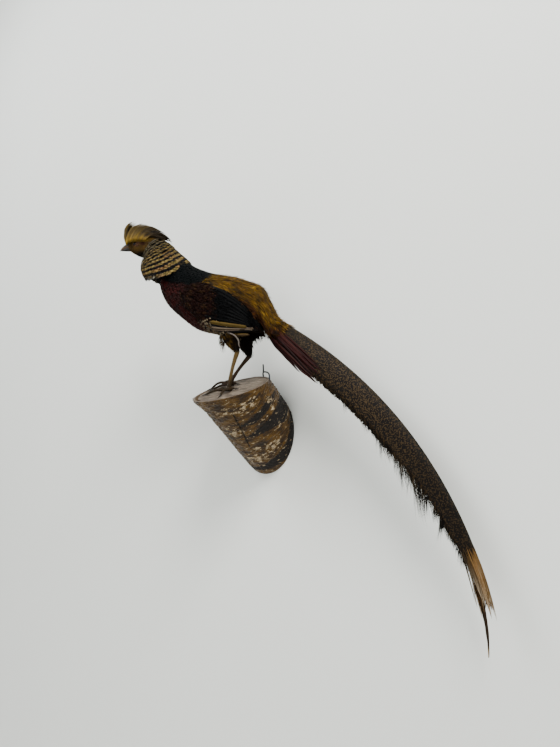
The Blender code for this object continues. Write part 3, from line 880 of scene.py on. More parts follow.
def coat(name, parts, finish, slot, replaces=()):
    """Joins sets of blades into one piece: each part is blades, root colours, root map and ring count."""
    points, faces, markings, quill_list, maps, start = [], [], [], [], [], 0
    for (p, f), colours, roots, rings, seed in parts:
        count = len(colours)
        chance = default_rng(seed).random(count)
        per_blade = len(p) // count
        quill = quills(count, rings, chance)
        if colours.ndim == 2:
            colours = np.repeat(colours[:, None], rings, axis=1)
        markings.append(np.stack([along_blades(colours[..., c]) for c in range(3)], -1).reshape(-1, 3))
        quill_list.append(quill)
        maps.append(coat_map(roots, quill, per_blade))
        points.append(p)
        faces.append(f + start)
        start += len(p)
    return make_piece(name, to_wall(np.concatenate(points)), np.concatenate(faces), finish, slot, replaces,
        marking=np.concatenate(markings), quill=np.concatenate(quill_list), OFBake=np.concatenate(maps))


def unwrap(along, turn, part=0, parts=1):
    """Along and round as a map; several like forms each take a strip of it."""
    return np.stack([np.clip(along, 0, 1), (part + (turn / (TURN)) % 1) / parts], -1)


def varied(colours, seed, amount=0.35):
    """Each feather a little lighter or darker than its neighbours."""
    chance = default_rng(seed)
    light = 1 - amount / 2 + amount * chance.random((len(colours), 1))
    return colours * light * (0.94 + 0.12 * chance.random((len(colours), 3)))


def root_to_tip(tones, shares):
    """Each feather's colour times one share for each of its rings."""
    return tones[:, None] * np.array(shares)[:, None]


# %% Feathers drawn between limits, and hairs that hang
def grown(form, along, turn, chance, length, width, tip, lean, size=1.0, stray=0.0, sway=0.0, **more):
    """Length, width, height of the tip and lean are drawn in this order, one for each root."""
    n = len(along)
    length, width = chance.uniform(*length, n) * size, chance.uniform(*width, n) * size
    tip, lean = chance.uniform(*tip, n) + stray, chance.normal(0, lean, n) + sway
    return feathers_on(form, along, turn, length, width, tip=tip, lean=lean, **more)


def hanging(roots, way, length, width, seed):
    """Loose hairs that leave the coat: straight along their way, then drawn down by the square of it."""
    chance = default_rng(seed)
    way = unit(np.asarray(way, float) + chance.normal(0, 0.16, roots.shape))
    length = (chance.uniform(0.45, 1.0, len(roots)) * length)[:, None, None]
    t = np.linspace(0, 1, 6)[None, :, None]
    spine = roots[:, None] + way[:, None] * t * length + (0, 0, -0.3) * t**2 * length
    half = np.interp(t[0, :, 0], *HAIR) * chance.uniform(0.5, 1.0, len(roots))[:, None] * width / 2
    return blades(spine, np.broadcast_to((0.0, 1.0, 0.0), spine.shape), half)


# %% [markdown]
# ## How a feather looks
#
# Close to, a feather shows a shaft and slanting barbs, is darker at its root and frays at the edge. The
# finish reads where it is on the feather from the quill attribute, and its own colour from the markings.

# %% The finish of feathers
def feather_finish(name, shine, barbs=26.0, depth=0.35, root=0.55, gloss=0.6):
    """Barbs are waves slanting from the shaft; the root is darker by the share that root gives."""
    made = Finish(name, shine)
    across, along, chance = made.parts(made.held("quill"))
    out = abs(across)
    slant = (along * barbs - out * 2.2 + chance * 7).wave()
    spot = made.place()
    grain = made.noise(spot, 700.0, 2.0)
    shade = (1 - along.step(0.0, 0.55)) * root + slant * depth * 0.6 + grain * depth * 0.8
    colour = made.mix(shade, made.held("marking", "Color"), (0.25, 0.2, 0.17), "MULTIPLY")
    shaft = 1 - out.step(0.0, 0.16)
    made.wear(colour, gloss + grain * 0.25, slant * 0.5 + shaft, 0.00012)
    return made


breast_look = feather_finish("scarlet_breast_feathers", 0.1, depth=0.4, gloss=0.42)
print("first finish:", breast_look.material.name)

# %% [markdown]
# ## The coat of the body
#
# The coat goes on from tail to head, as shingles would: each feather hides the root of the one behind
# it. Breast feathers are broad and lie flat, the gold ones over the back are narrow and loose like
# hair, and the vent is soft fluff. Which kind grows where follows the same lines as the colours.

# %% Breast, flank and belly
def low_flank(place):
    """1 in a band over the belly, in front of the thigh, that narrows backwards."""
    x, _, z = place.T
    top = np.interp(x, (0.012, 0.03, 0.05, 0.07), (0.114, 0.118, 0.123, 0.124))
    return soft(0.003, -0.003, z - top) * soft(0.08, 0.066, x) * soft(0.004, 0.014, x)


def pale_tips(tones, chosen_share, seed):
    """This share of the feathers end in a buff-white tip."""
    chosen = default_rng(seed).random(len(tones)) < chosen_share
    tones[chosen, -2:] = np.array((0.36, 0.29, 0.19)) * np.array((0.6, 1.0))[:, None]
    return tones


along, turn = roots_on(body, 0.0027, 11, limits=(0.02, 0.62))
place = body(along, turn)
kind = default_rng(12).random(len(along))
keep = (is_gold(place) < kind) & (is_mantle(place) < kind) & (is_vent(place) < 0.5)
along, turn, place = along[keep], turn[keep], place[keep]
breast = grown(body, along, turn, default_rng(13), (0.01, 0.015), (0.0034, 0.0052), (-0.0005, 0.0006),
    0.16, root=0.0045, camber=0.12, crowd=1.3)
tones = root_to_tip(varied(plumage(place), 14, 0.5), (0.45, 0.55, 0.8, 1.1, 1.25, 1.2))
tones = pale_tips(tones, 0.62 * low_flank(place), 16)
coat("breast_coat", [(breast, tones, unwrap(along, turn), 6, 15)], breast_look, "scarlet_breast")

# %% The mantle: short, glossy and blue-black, with green edges
along, turn = roots_on(body, 0.0029, 21, limits=(0.34, 0.72))
place = body(along, turn)
keep = is_mantle(place) > default_rng(22).random(len(along))
keep |= along > 0.56
along, turn, place = along[keep], turn[keep], place[keep]
mantle = grown(body, along, turn, default_rng(23), (0.011, 0.015), (0.0055, 0.0075), (-0.0004, 0.0005),
    0.1, root=0.004, camber=0.12, crowd=1.3)
tones = varied(plumage(place), 24, 0.6)
edge = np.array((0.0007, 0.002, 0.0023))
tones = np.stack([tones * (1 - share) + edge * share for share in (0, 0, 0.1, 0.3, 0.7, 0.9)], axis=1)
mantle_look = feather_finish("mantle_feathers", 0.045, depth=0.3, gloss=0.38)
coat("mantle_coat", [(mantle, tones, unwrap(along, turn), 6, 25)], mantle_look, "neck_feathers")

# %% Gold plumes of the back and rump, loose as hair
along, turn = roots_on(body, 0.0021, 31, limits=(0.004, 0.5))
place = body(along, turn)
chance = default_rng(32)
keep = is_gold(place) > chance.uniform(0.15, 0.95, len(along))
along, turn, place = along[keep], turn[keep], place[keep]
n = len(along)
long = chance.uniform(0.015, 0.03, n) * np.interp(along, (0.0, 0.1, 0.16), (0.45, 0.75, 1.0))
lock = drift(place, 0.01, 14) - 0.5
loose = (chance.random(n) < 0.16) * chance.uniform(0.001, 0.0045, n)
gold = feathers_on(body, along, turn, long, chance.uniform(0.0011, 0.0026, n), root=0.0045,
    tip=chance.uniform(-0.0006, 0.0014, n) + loose, lean=chance.normal(0, 0.12, n) + lock * 0.9,
    shape=HAIR, camber=0.3, pull=(0.05, 0, -0.55))
# light and dark streaks along the locks: painted light and shade on them
streak = drift(lengthways(place), 0.003, 15)
tones = varied(plumage(place), 33, 0.8) * (0.1 + 1.75 * streak**1.6)[:, None]
# darkened strands: painted shade between the strands
dark = (chance.random(n) < 0.22)[:, None]
tones = np.where(dark, tones * (0.2, 0.15, 0.2), tones)
# paler, whiter strands: painted highlights
highlight_strands = (chance.random(n) < 0.12)[:, None]
tones = np.where(highlight_strands, tones * (2.0, 2.1, 2.6), tones)
tones = root_to_tip(tones, (0.25, 0.4, 0.75, 1.0, 1.2, 1.35))
gold_look = feather_finish("gold_plumes", 0.16, depth=0.3, root=0.5, gloss=0.42)
coat("gold_coat", [(gold, tones, unwrap(along, turn), 6, 34)], gold_look, "golden_rump")

# %% Vent fluff: black down between the legs and the tail
along, turn = roots_on(body, 0.0024, 41, limits=(0.004, 0.34))
place = body(along, turn)
keep = (is_vent(place) > 0.3) & (is_gold(place) < 0.5)
along, turn, place = along[keep], turn[keep], place[keep]
chance = default_rng(42)
n = len(along)
under = soft(-0.046, -0.04, place[:, 0]) * soft(-0.016, -0.025, place[:, 0])
stray = (chance.random(n) < 0.08 + 0.6 * under) * chance.uniform(0.002, 0.008, n) * (1 + 0.7 * under)
fluff = grown(body, along, turn, chance, (0.012, 0.02), (0.001, 0.0022), (0.0, 0.0022), 0.35, stray=stray,
    root=0.004, shape=HAIR, camber=0.3, pull=(0, 0, -0.4))

# %% A tuft of down under the tail's root
chance = default_rng(45)
low_edge = np.linspace(0.004, 0.5, 200)
along_tuft = np.interp(chance.uniform(-0.038, -0.024, 130), body(low_edge, 0 * low_edge - math.pi / 2)[:,
    0], low_edge)
turn_tuft = -math.pi / 2 + chance.normal(0, 0.5, 130)
roots = body(along_tuft, turn_tuft) + (0, 0, 0.003)
tuft_hairs = hanging(roots, (-0.55, 0, -0.8), 0.021, 0.0016, 46)
tuft_tones = painted((0.0012, 0.0009, 0.0008), 130)
fluff_look = feather_finish("vent_down", 0.03, depth=0.3, gloss=0.7)
coat("vent_coat", [(fluff, varied(plumage(place), 43, 0.6), unwrap(along, turn), 6, 44),
    (tuft_hairs, tuft_tones, unwrap(along_tuft, turn_tuft), 6, 47)], fluff_look, "thigh_feathers")

# %% [markdown]
# ## Face and crown
#
# The feathers of the face are the smallest on the bird, a few millimetres long, and lie so flat that
# the shape of the skull shows. They leave bare skin round the eye and stop at the bill.

# %% Tiny feathers of the face
along, turn = roots_on(body, 0.00135, 51, limits=(0.66, 0.985))
place = body(along, turn)
gone = np.hypot((place[:, 0] - EYE[0]) / 0.0056, (place[:, 2] - EYE[2]) / 0.0044) < 1
along, turn, place = along[~gone], turn[~gone], place[~gone]
size = np.interp(along, (0.66, 0.78, 0.985), (1.5, 1.0, 0.6))
face = grown(body, along, turn, default_rng(52), (0.0038, 0.0055), (0.0013, 0.0021), (-0.0002, 0.0003),
    0.14, size=size, root=0.0012, rings=5)
tones = root_to_tip(varied(plumage(place), 53, 0.55), (0.5, 0.6, 0.9, 1.1, 1.25))
face_look = feather_finish("face_feathers", 0.08, barbs=8.0, depth=0.3, gloss=0.6)
coat("face_coat", [(face, tones, unwrap(along, turn), 5, 54)], face_look, "head_feathers")

# %% [markdown]
# ## The crest
#
# Silky strands rise from the crown, the first ones straight up from the bill, and sweep back to a
# point behind the head. Each strand is a cubic Bezier curve, and its four points slide along four
# guide lines from the front strand to the rear one.

# %% Strands between guide lines: root, two handles and tip for six strands, forward and up
CREST_GUIDES = mm((
    (241.5, 288, 250.5, 300, 260, 324, 233.5, 340), (239, 290.5, 246.5, 304, 253, 326, 229, 338.5),
    (232, 298, 235, 312, 226, 333, 203, 331), (223, 302, 220, 319, 203, 334, 180, 319),
    (212, 305, 205, 319, 179, 327.5, 154, 304), (199, 306, 190, 314, 162, 315, 147.8, 291.5),
))
# half width at root, two handles and tip, each for four places from front to rear
CREST_WIDTHS = mm((
    (4, 10, 12.5, 12), (5, 14.5, 16, 13), (6, 13, 13, 8.5), (7, 9, 7, 1.2),
))
CREST_RINGS, TUFT_SHARE = 8, 0.28


def crest_strands(u, v, reach):
    """Cubic Bezier curves; u slides from the front guide to the rear one and v from right to left."""
    guide = through(CREST_GUIDES, u).reshape(-1, 4, 2)
    spread = np.stack([np.interp(u, (0, 0.3, 0.6, 1), widths) for widths in CREST_WIDTHS], -1)
    corners = np.stack([guide[..., 0], spread * v[:, None], guide[..., 1]], -1)
    t = np.linspace(0, 1, CREST_RINGS)[None, :, None] * reach[:, None, None]
    a, b, c, d = (corners[:, None, k] for k in range(4))
    return a * (1 - t) ** 3 + 3 * b * t * (1 - t) ** 2 + 3 * c * t**2 * (1 - t) + d * t**3


# %% Strands in locks, which lean towards the middle of their lock as they go
chance = default_rng(61)
locks, per_lock = 190, 16
n = locks * per_lock
lock_u = chance.random(locks)
tuft = lock_u < TUFT_SHARE
# the front locks stand up as a tuft, and a small gap parts them from the rest
lock_u = np.where(tuft, lock_u, 0.31 + (lock_u - TUFT_SHARE) / (1 - TUFT_SHARE) * 0.69)
lock_v = np.sin(chance.uniform(-1, 1, locks) * math.pi / 2) * np.where(tuft, 0.8, 1.0)
lock_reach = chance.uniform(0.76, 1.0, locks) + 0.06 * tuft + 0.12 * soft(0.75, 0.95, lock_u)
aim_u = np.where(tuft, 0.01 + 0.6 * lock_u, lock_u + 0.09 * soft(0.44, 0.31, lock_u))
of_lock = np.repeat(np.arange(locks), per_lock)
u = np.clip(lock_u[of_lock] + chance.normal(0, 1, n) * np.where(tuft, 0.02, 0.026)[of_lock], 0, 1)
v = np.clip(lock_v[of_lock] + chance.normal(0, 0.16, n), -1, 1)
reach = lock_reach[of_lock] * chance.uniform(0.78, 1.0, n)
t = np.linspace(0, 1, CREST_RINGS)
together_by = 0.9 * t[None, :, None]
own_way = crest_strands(u, v, reach)
lock_way = crest_strands(aim_u[of_lock], lock_v[of_lock], reach)
spine = own_way * (1 - together_by) + lock_way * together_by
sway = (drift(spine, 0.01, 8)[..., None] - 0.5) * (0.003, 0.004, 0.003)
spine = spine + sway * t[None, :, None]
# at the sides the roots reach down to the brow
lowered = (0.0099 + 0.0095 * u)[:, None] * v[:, None] ** 2 * (1 - t) ** 2 * soft(0.1, 0.3, u)[:, None]
spine[..., 2] -= lowered
spine[..., 1] += np.sign(v)[:, None] * lowered * 0.3
facing = unit(np.stack([0 * spine[..., 0], spine[..., 1] * 60, 0.6 + 0 * spine[..., 0]], -1))
half = np.interp(t, (0, 0.2, 0.6, 1), (0.6, 1, 0.7, 0.0)) * chance.uniform(0.0003, 0.0008, n)[:, None]
crest = blades(spine, facing, half, thick=0.0002, camber=0.3)

# %% The crest's colours: golden in front, brown behind, in streaks of many locks
rear = soft(0.42, 0.8, u + 0.25 * (0.5 - abs(v)))[:, None]
lock_tone = chance.uniform(0.35, 1.6, locks) * chance.uniform(0.45, 1.5, 27)[(lock_u * 26).astype(int)]
tones = varied(painted("crown", n), 62, 0.9) * lock_tone[of_lock, None]
# the rear strands are brown, though their roots over the eye are still golden
brown = (rear * (0.25 + 0.75 * soft(0.05, 0.4, t)))[..., None]
fade = np.array((1.9, 1.7, 1.0, 0.62, 0.52, 0.5, 0.6, 0.7))
tuft_fade = fade * (0.75, 0.65, 0.65, 0.8, 0.9, 1.0, 1.0, 1.0)
tones = tones[:, None] * np.where(tuft[of_lock, None], tuft_fade, fade)[..., None]
tones = tones * (1 - brown) + tones * (0.23, 0.22, 0.72) * brown
crest_roots = np.stack([u, (v + 1) / 2], -1)
crest_look = feather_finish("crest_silk", 0.16, barbs=10.0, depth=0.25, root=0.1, gloss=0.4)

# %% Short hairs fill the crest from within, so that no skin shows between the strands
CREST_ROWS = mm((
    (166, 305, 166, 298.5, 5, 0), (175, 308, 170, 299, 9, 0), (190, 316, 188, 300, 13, 0),
    (208, 324, 204, 300, 13.5, 0), (222, 325, 218, 300, 11, 0), (232, 314, 228, 299, 6, 0),
))
crest_core = partial(egg, CREST_ROWS)
along, turn = roots_on(crest_core, 0.0022, 63)
inner = feathers_on(crest_core, along, turn, 0.012, 0.003, root=0.0, tip=0.001, rings=5, shape=HAIR)
shade = soft(0.9, 0.3, along)[:, None]
inner_tones = np.array(PAINT["crown"]) * 0.4 * (1 - shade) + (0.02, 0.012, 0.003) * shade
coat("crest_coat", [(crest, tones, crest_roots, 8, 64), (inner, varied(inner_tones, 65, 0.6),
    unwrap(along, turn), 5, 66)], crest_look, "golden_crest", ("crest",))

# %% [markdown]
# ## The ruff
#
# The cock's ruff is a bell of broad straw-coloured feathers round the neck, open at the throat. Dark bars
# cross every feather, and because the rows lie evenly the bars join into stripes. Here the stripes read
# how far down the bell a point lies, with a small shift for each feather.

# %% The bell's form: from the hem up to the face
CAPE_ROWS = mm((
    (104, 251, 195, 231, 43.5, 0), (126, 268, 203, 242, 40, 0), (144.5, 285, 205, 252, 32, 0),
    (164, 300, 204.5, 262, 21.5, 0), (183, 305.5, 206, 268, 18.5, 0),
))
CAPE_SAG = (0.04, 0.018)
CAPE_SHAPE = ((0, 0.2, 0.5, 0.85, 0.95, 1), (0.4, 0.8, 1, 1, 0.75, 0))


def ruff(along, turn):
    """An egg-shaped ring whose sides hang lower, most at the hem, and lower on the left."""
    point = egg(CAPE_ROWS, along, turn, droop=-0.16)
    half = through(CAPE_ROWS, along)[..., 4] * 1.0125
    sag = np.where(point[..., 1] > 0, *CAPE_SAG)
    power = 1.3 - 0.65 * soft(0.135, 0.175, point[..., 0])
    point[..., 2] -= sag * (1 - along) * (abs(point[..., 1]) / half) ** power
    return point


along, turn = roots_on(ruff, 0.0034, 71, stretch=1.4, limits=(0.08, 0.985))
place = ruff(along, turn)
keep = ~((place[:, 0] > 0.198) & (abs(place[:, 1]) < 0.007))
along, turn, place = along[keep], turn[keep], place[keep]
chance = default_rng(72)
n = len(along)
hem = soft(0.3, 0.08, along)
long = np.interp(along, (0.08, 0.4, 0.8, 1), (0.012, 0.016, 0.011, 0.008)) * chance.uniform(0.9, 1.1, n)
wide = np.interp(along, (0.1, 0.5, 0.8, 1), (0.0095, 0.0085, 0.0055, 0.0032))
tip = chance.uniform(-0.0003, 0.0007, n) - 0.0012 * hem
cape = feathers_on(ruff, along, turn, long, wide, root=np.interp(along, (0.7, 1), (0.0035, 0.0012)),
    tip=tip, lean=chance.normal(0, 0.05, n), rings=10, crowd=1.5, shape=CAPE_SHAPE, camber=0.1)
tones = painted("straw", n)
warm = soft(0.55, 0.8, drift(place, 0.014, 9))[:, None]
tones = tones * (1 - 0.5 * warm) + np.array((0.19, 0.08, 0.04)) * 0.5 * warm
dusk = soft(0.55, 0.92, along)[:, None] * 0.75
tones = varied(tones * (1 - dusk) + (0.095, 0.088, 0.052) * dusk, 73, 0.8)
share = 1 - (1 - np.linspace(0, 1, 10)) ** 1.5
# how far down the bell each ring of a feather lies, with a small shift for each feather
reach = np.linalg.norm(slopes(ruff, along, turn)[0], axis=1)
fall = along[:, None] - (long / reach)[:, None] * share
band = along_blades(fall + chance.normal(0, 0.0038, n)[:, None]).reshape(-1)
lead = along_blades(np.tile(soft(0.14, 0.16, place[:, 0])[:, None], 10)).reshape(-1)

# %% The ruff's finish and its dark lining, a painted shade inside the bell
cape_look = Finish("barred_ruff_feathers", 0.07)
across, lie, own = cape_look.parts(cape_look.held("quill"))
down = cape_look.held("band", "Fac")
spot = cape_look.place()
ragged = cape_look.noise(spot, 240.0, 3.0) - 0.5
bars = (down * 8.0 + down * down * 4.6 + ragged * 0.16 + abs(across) * 0.06).wave()
bars = (bars - down.step(0.45, 0.95) * 0.16 - down.step(0.84, 0.98) * 0.4).step(0.42, 0.64)
front = cape_look.held("front", "Fac")
front_hem = 1 - (down + ragged * 0.05).step(0.02, 0.09)
rear_hem = 1 - (down + ragged * 0.03).step(-0.07, -0.03)
fringe = front_hem * front + rear_hem * (1 - front)
fine = cape_look.noise(spot, 900.0, 2.0)
slant = (lie * 22.0 - abs(across) * 2.0 + own * 5.0).wave()
straw = cape_look.mix(slant * 0.25 + fine * 0.4, cape_look.held("marking", "Color"), (0.35, 0.26, 0.2),
    "MULTIPLY")
barred = cape_look.mix(bars, (0.0016, 0.0012, 0.0018), straw)
hem_colour = cape_look.mix((ragged * 2 + 0.35).step(0.35, 0.6), (0.002, 0.002, 0.002), (0.15, 0.14, 0.11))
hemmed = cape_look.mix(fringe * 0.9, barred, hem_colour)
cape_look.wear(hemmed, 0.45 + fine * 0.2, slant * 0.5 + (1 - abs(across).step(0.0, 0.2)), 0.00015)


def under_ruff(along, turn):
    """The bell without its hem and its top."""
    return ruff(along * 0.86 + 0.03, turn)


# a near-black sheet just inside the bell: painted shade for the cavity under the ruff
outside, inside = (ring_grid(under_ruff, 30, 72, lambda along, deep=deep: deep + 0 * along)
    for deep in (0.003, 0.0036))
shell = np.concatenate([outside, inside[::-1]])
throat = (shell[..., 0] > 0.196) & (abs(shell[..., 1]) < 0.009)
lining_points = shell.reshape(-1, 3)
lining_faces = facing_out(lining_points, sheet_faces(60, 72))
lining_faces = lining_faces[~throat.reshape(-1)[lining_faces].any(1)]
inner_shade_look = feather_finish("ruff_painted_shade", 0.04)
# the lining's near-black colour is painted shade
make_piece("ruff_lining", to_wall(lining_points), lining_faces, inner_shade_look, "barred_cape",
    marking=painted((0.01, 0.008, 0.007), len(lining_points)), quill=np.zeros_like(lining_points))


# %% Lay the ruff
def with_extra(name, feathers, tones, roots, rings, seed, finish, slot, replaces=(), **extra):
    """A coat piece of one set of feathers that also stores attributes of its own."""
    made = coat(name, [(feathers, tones, roots, rings, seed)], finish, slot, replaces)
    dress(made.data, **extra)
    return made


with_extra("ruff_coat", cape, tones, unwrap(along, turn), 10, 74, cape_look, "barred_cape", ("cape",),
    band=band, front=lead)

# %% [markdown]
# ## Wings
#
# A folded wing shows small coverts at the shoulder and a blue-black patch in the middle. Along the lower
# edge lie the long flight feathers, striped in turn brown, black, rosy and grey buff, each over the next
# one down. The lowest hang a little below the wing's own form.

# %% The wing's markings
def wing_colour(p):
    """Mottled shoulder, blue-black patch, and brown towards the lower edge and the tip."""
    x, y, z = p.T
    colour = blend(painted("flank", len(p)), "speckle", 0.07 * soft(0.55, 0.7, drift(p, 0.004, 3)))
    brown = np.array((0.007, 0.0038, 0.0018))
    low = soft(0.004, -0.004, z - np.interp(x, (-0.05, -0.03, 0.02, 0.05), (0.108, 0.112, 0.113, 0.118)))
    patch = soft(0.048, 0.036, x + (drift(p, 0.008, 17) - 0.5) * 0.016) * (1 - low)
    colour = colour * (1 - patch[:, None]) + (0.0003, 0.0004, 0.0006) * patch[:, None]
    return colour * (1 - low[:, None]) + brown * low[:, None]


# %% Coverts of both wings; they stop where the flight feathers come out from under them
covert_parts, flight_parts = [], []
for part, (name, side) in enumerate(SIDES.items()):
    form = wing(side)
    along, turn = roots_on(form, 0.003, 81 + part, limits=(0.02, 0.98))
    surface_side = (np.cos(turn) > -0.35) | (np.sin(turn) < -0.6)
    along, turn = along[surface_side], turn[surface_side]
    along = 1 - along
    place = form(along, turn)
    chance = default_rng(83 + part)
    striped = soft(0.53, 0.6, along) * soft(0.3, -0.1, np.sin(turn)) * soft(-0.55, -0.35, np.cos(turn))
    keep = (is_gold(place) < 0.8) & (chance.random(len(along)) > striped)
    along, turn, place = along[keep], turn[keep], place[keep]
    # the wing's rows run from shoulder to tip, so its feathers follow the rows
    laid = grown(from_tip(form), 1 - along, turn, chance, (0.01, 0.015), (0.0038, 0.0058),
        (-0.0003, 0.0006), 0.12, root=0.002, camber=0.12, crowd=1.3)
    tones = root_to_tip(varied(wing_colour(place), 85 + part, 0.6), (0.45, 0.55, 0.8, 1.1, 1.3, 1.3))
    tones = pale_tips(tones, 0.62 * low_flank(place), 95 + part)
    covert_parts.append((laid, tones, unwrap(along, turn, part, 2), 6, 87 + part))
covert_look = feather_finish("wing_coverts", 0.035, depth=0.35, gloss=0.42)
coat("wing_coat", covert_parts, covert_look, "wing_feathers")

# %% Flight feathers, each at its own level round the wing; the upper ones come last and lie on top
# the seven lowest, from below: brown, black, rosy, dark brown, grey buff, black and olive
STRIPES = ((0.046, 0.029, 0.02), (0.0012, 0.001, 0.0009), (0.08, 0.058, 0.042), (0.02, 0.014, 0.01),
    (0.105, 0.085, 0.06), (0.0012, 0.001, 0.0009), (0.056, 0.038, 0.0085))
STRIPE_LEVELS = (-1.92, -1.7, -1.46, -1.3, -1.15, -0.99, -0.82)
FLIGHT_SHAPE = ((0, 0.1, 0.5, 0.85, 0.95, 1), (0.5, 0.8, 1, 0.85, 0.5, 0))
HANG = 0.0065
levels = np.concatenate([STRIPE_LEVELS, np.linspace(-0.64, 0.85, 8)])
start = np.interp(levels, (-1.45, -0.9, -0.6, 0.85), (0.53, 0.52, 0.42, 0.3))
long = np.interp(levels, (-1.92, -1.3, -1.15, -0.99, -0.82, -0.64, 0.85),
    (0.082, 0.086, 0.088, 0.09, 0.078, 0.102, 0.112))
wide = np.interp(levels, (-1.92, -1.3, -0.8, 0.85), (0.007, 0.007, 0.0085, 0.0115))
lean = np.radians(np.interp(levels, (-1.45, -0.8, 0.2), (11, 11, 0)))
tones = np.concatenate([STRIPES, painted((0.0003, 0.0004, 0.0006), len(levels) - len(STRIPES))])
for part, side in enumerate(SIDES.values()):
    laid = feathers_on(from_tip(wing(side, HANG)), 1 - start, levels, long, wide, root=0.001, tip=0.0008,
        rings=16, lean=side * lean, shape=FLIGHT_SHAPE, camber=0.12)
    own_tones = varied(tones, 89 + part, 0.2)
    flight_parts.append((laid, own_tones, unwrap(start, levels + math.pi, part, 2), 16, 91 + part))

flight_look = Finish("flight_feathers", 0.035)
across, lie, own = flight_look.parts(flight_look.held("quill"))
wobble = flight_look.noise(flight_look.place(), 300.0, 2.0)
black = 1 - flight_look.held("marking", "Fac").step(0.0018, 0.003)
streak = flight_look.noise(flight_look.held("quill"), 7.0, 3.0)
rims = (abs(across) + wobble * 0.22 + streak * 0.45).step(0.84, 0.98)
cross_bars = (lie * 13.0 + own * 3.0 + wobble * 1.4 - abs(across) * 0.9).wave().step(0.62, 0.9) * 0.14
slant = (lie * 60.0 - abs(across) * 2.0).wave()
buff = flight_look.mix(own.step(0.4, 0.6), (0.12, 0.076, 0.018), (0.215, 0.165, 0.112))
pale = flight_look.mix(rims.math("MAXIMUM", rims, cross_bars) * (1 - black),
    flight_look.held("marking", "Color"), buff)
toned = flight_look.mix(slant * 0.25 + wobble * 0.3, pale, (0.4, 0.35, 0.3), "MULTIPLY")
flight_look.wear(toned, 0.38 + wobble * 0.25, slant * 0.5 + (1 - abs(across).step(0.0, 0.12)), 0.00015)
coat("flight_coat", flight_parts, flight_look, "wing_feathers")

# %% [markdown]
# ## Thighs and leg scales
#
# Soft brown feathers cover the thighs down to the hock and end there in a loose fringe. Below it the leg
# is bare: horny plates overlap down the front of the shank and over each toe.

# %% Thigh feathers
THIGH_WIDTHS = ((0, 0.6, 0.8, 1), (0.0013, 0.0022, 0.0036, 0.004))
thigh_parts = []
for part, (name, side) in enumerate(SIDES.items()):
    form = thigh(name)
    backwards = from_tip(form)
    along, turn = roots_on(backwards, 0.0021, 101 + part, limits=(0.06, 0.95))
    place = backwards(along, turn)
    chance = default_rng(103 + part)
    n = len(along)
    long = np.interp(along, (0, 0.3, 1), (0.0095, 0.012, 0.014)) * chance.uniform(0.8, 1.2, n)
    wide = np.interp(along, *THIGH_WIDTHS) * chance.uniform(0.8, 1.2, n)
    tip = chance.uniform(0.0, 0.0016, n) + (chance.random(n) < 0.1) * chance.uniform(0.001, 0.004, n)
    lean = chance.normal(0, 0.22, n) + (drift(place, 0.006, 107) - 0.5) * 1.2
    laid = feathers_on(backwards, along, turn, long, wide, 0.0028, tip, lean, rings=5, shape=HAIR,
        camber=0.3)
    front = soft(-0.002, 0.012, place[:, 0] - LEGS[name]["hock"][0] - 0.004)
    # the far thigh keeps almost none of the tan: painted shade, as it lies in shadow
    tan = (0.1 + 0.9 * front) * soft(0.4, 0.6, drift(place, 0.006, 12)) * (0.9 if side > 0 else 0.05)
    tones = blend(painted((0.0042, 0.0024, 0.0014), n), "thigh", tan)
    high_up = soft(0.098, 0.104, place[:, 2])
    tones = varied(blend(tones, "thigh_top", high_up), 105 + part, 0.6)
    tones = root_to_tip(tones, (0.7, 0.8, 1.0, 1.1, 1.1))
    tones = pale_tips(tones, 0.5 * high_up * soft(-0.004, 0.006, place[:, 0]), 97 + part)
    thigh_parts.append((laid, tones, unwrap(along, turn, part, 2), 5, 107 + part))
    # a loose lock hangs from the front of each thigh
    high, ahead_turn = chance.uniform(0.45, 0.65, 34), chance.normal(math.pi / 2, 0.25, 34)
    ahead_turn = ahead_turn * np.sign(quarter_towards(form, 0))
    lock = hanging(form(high, ahead_turn), (0.05, 0, -1), 0.019, 0.0016, 109 + part)
    lock_tones = varied(painted((0.03, 0.015, 0.0045), 34), 115 + part, 0.9)
    thigh_parts.append((lock, lock_tones, unwrap(1 - high, ahead_turn, part, 2), 6, 117 + part))

# %% One long pale feather curls down behind the near thigh
PALE_PLUME = mm((
    (7, 43, 95), (-6, 42, 90.5), (-13.5, 38, 82.5), (-14.5, 34, 73.5), (-17.5, 32, 69),
))
t = np.linspace(0, 1, 14)
pale_spine = through(PALE_PLUME, t)[None]
pale_half = np.interp(t, (0, 0.15, 0.7, 1), (0.4, 1, 0.9, 0.0))[None] * 0.0013
pale_blade = blades(pale_spine, np.broadcast_to((0.0, 1.0, 0.0), pale_spine.shape), pale_half)
thigh_parts.append((pale_blade, np.array([(0.2, 0.175, 0.155)]), np.array([(0.5, 0.25)]), 14, 119))
thigh_look = feather_finish("thigh_down", 0.05, depth=0.35, root=0.4, gloss=0.6)
coat("thigh_coat", thigh_parts, thigh_look, "thigh_feathers")

# %% Plates of the shanks and toes
plate_parts = []
PLATE = ((0, 0.1, 0.9, 1), (0.9, 1, 0.9, 0.0))


def plates(form, rows, turns, length, width, seed, part):
    """Short broad blades in rows down a limb, each overlapping the next."""
    along, turn = (g.ravel() for g in crossed(rows, np.array(turns)))
    backwards = from_tip(form)
    laid = feathers_on(backwards, 1 - along, turn, length, width, root=0.0001, tip=0.00035, rings=5,
        shape=PLATE, camber=0.3)
    tones = varied(leg_colour(form(along, turn)) * 1.15, seed, 0.3)
    return laid, tones, unwrap(along, turn, part, 10), 5, seed


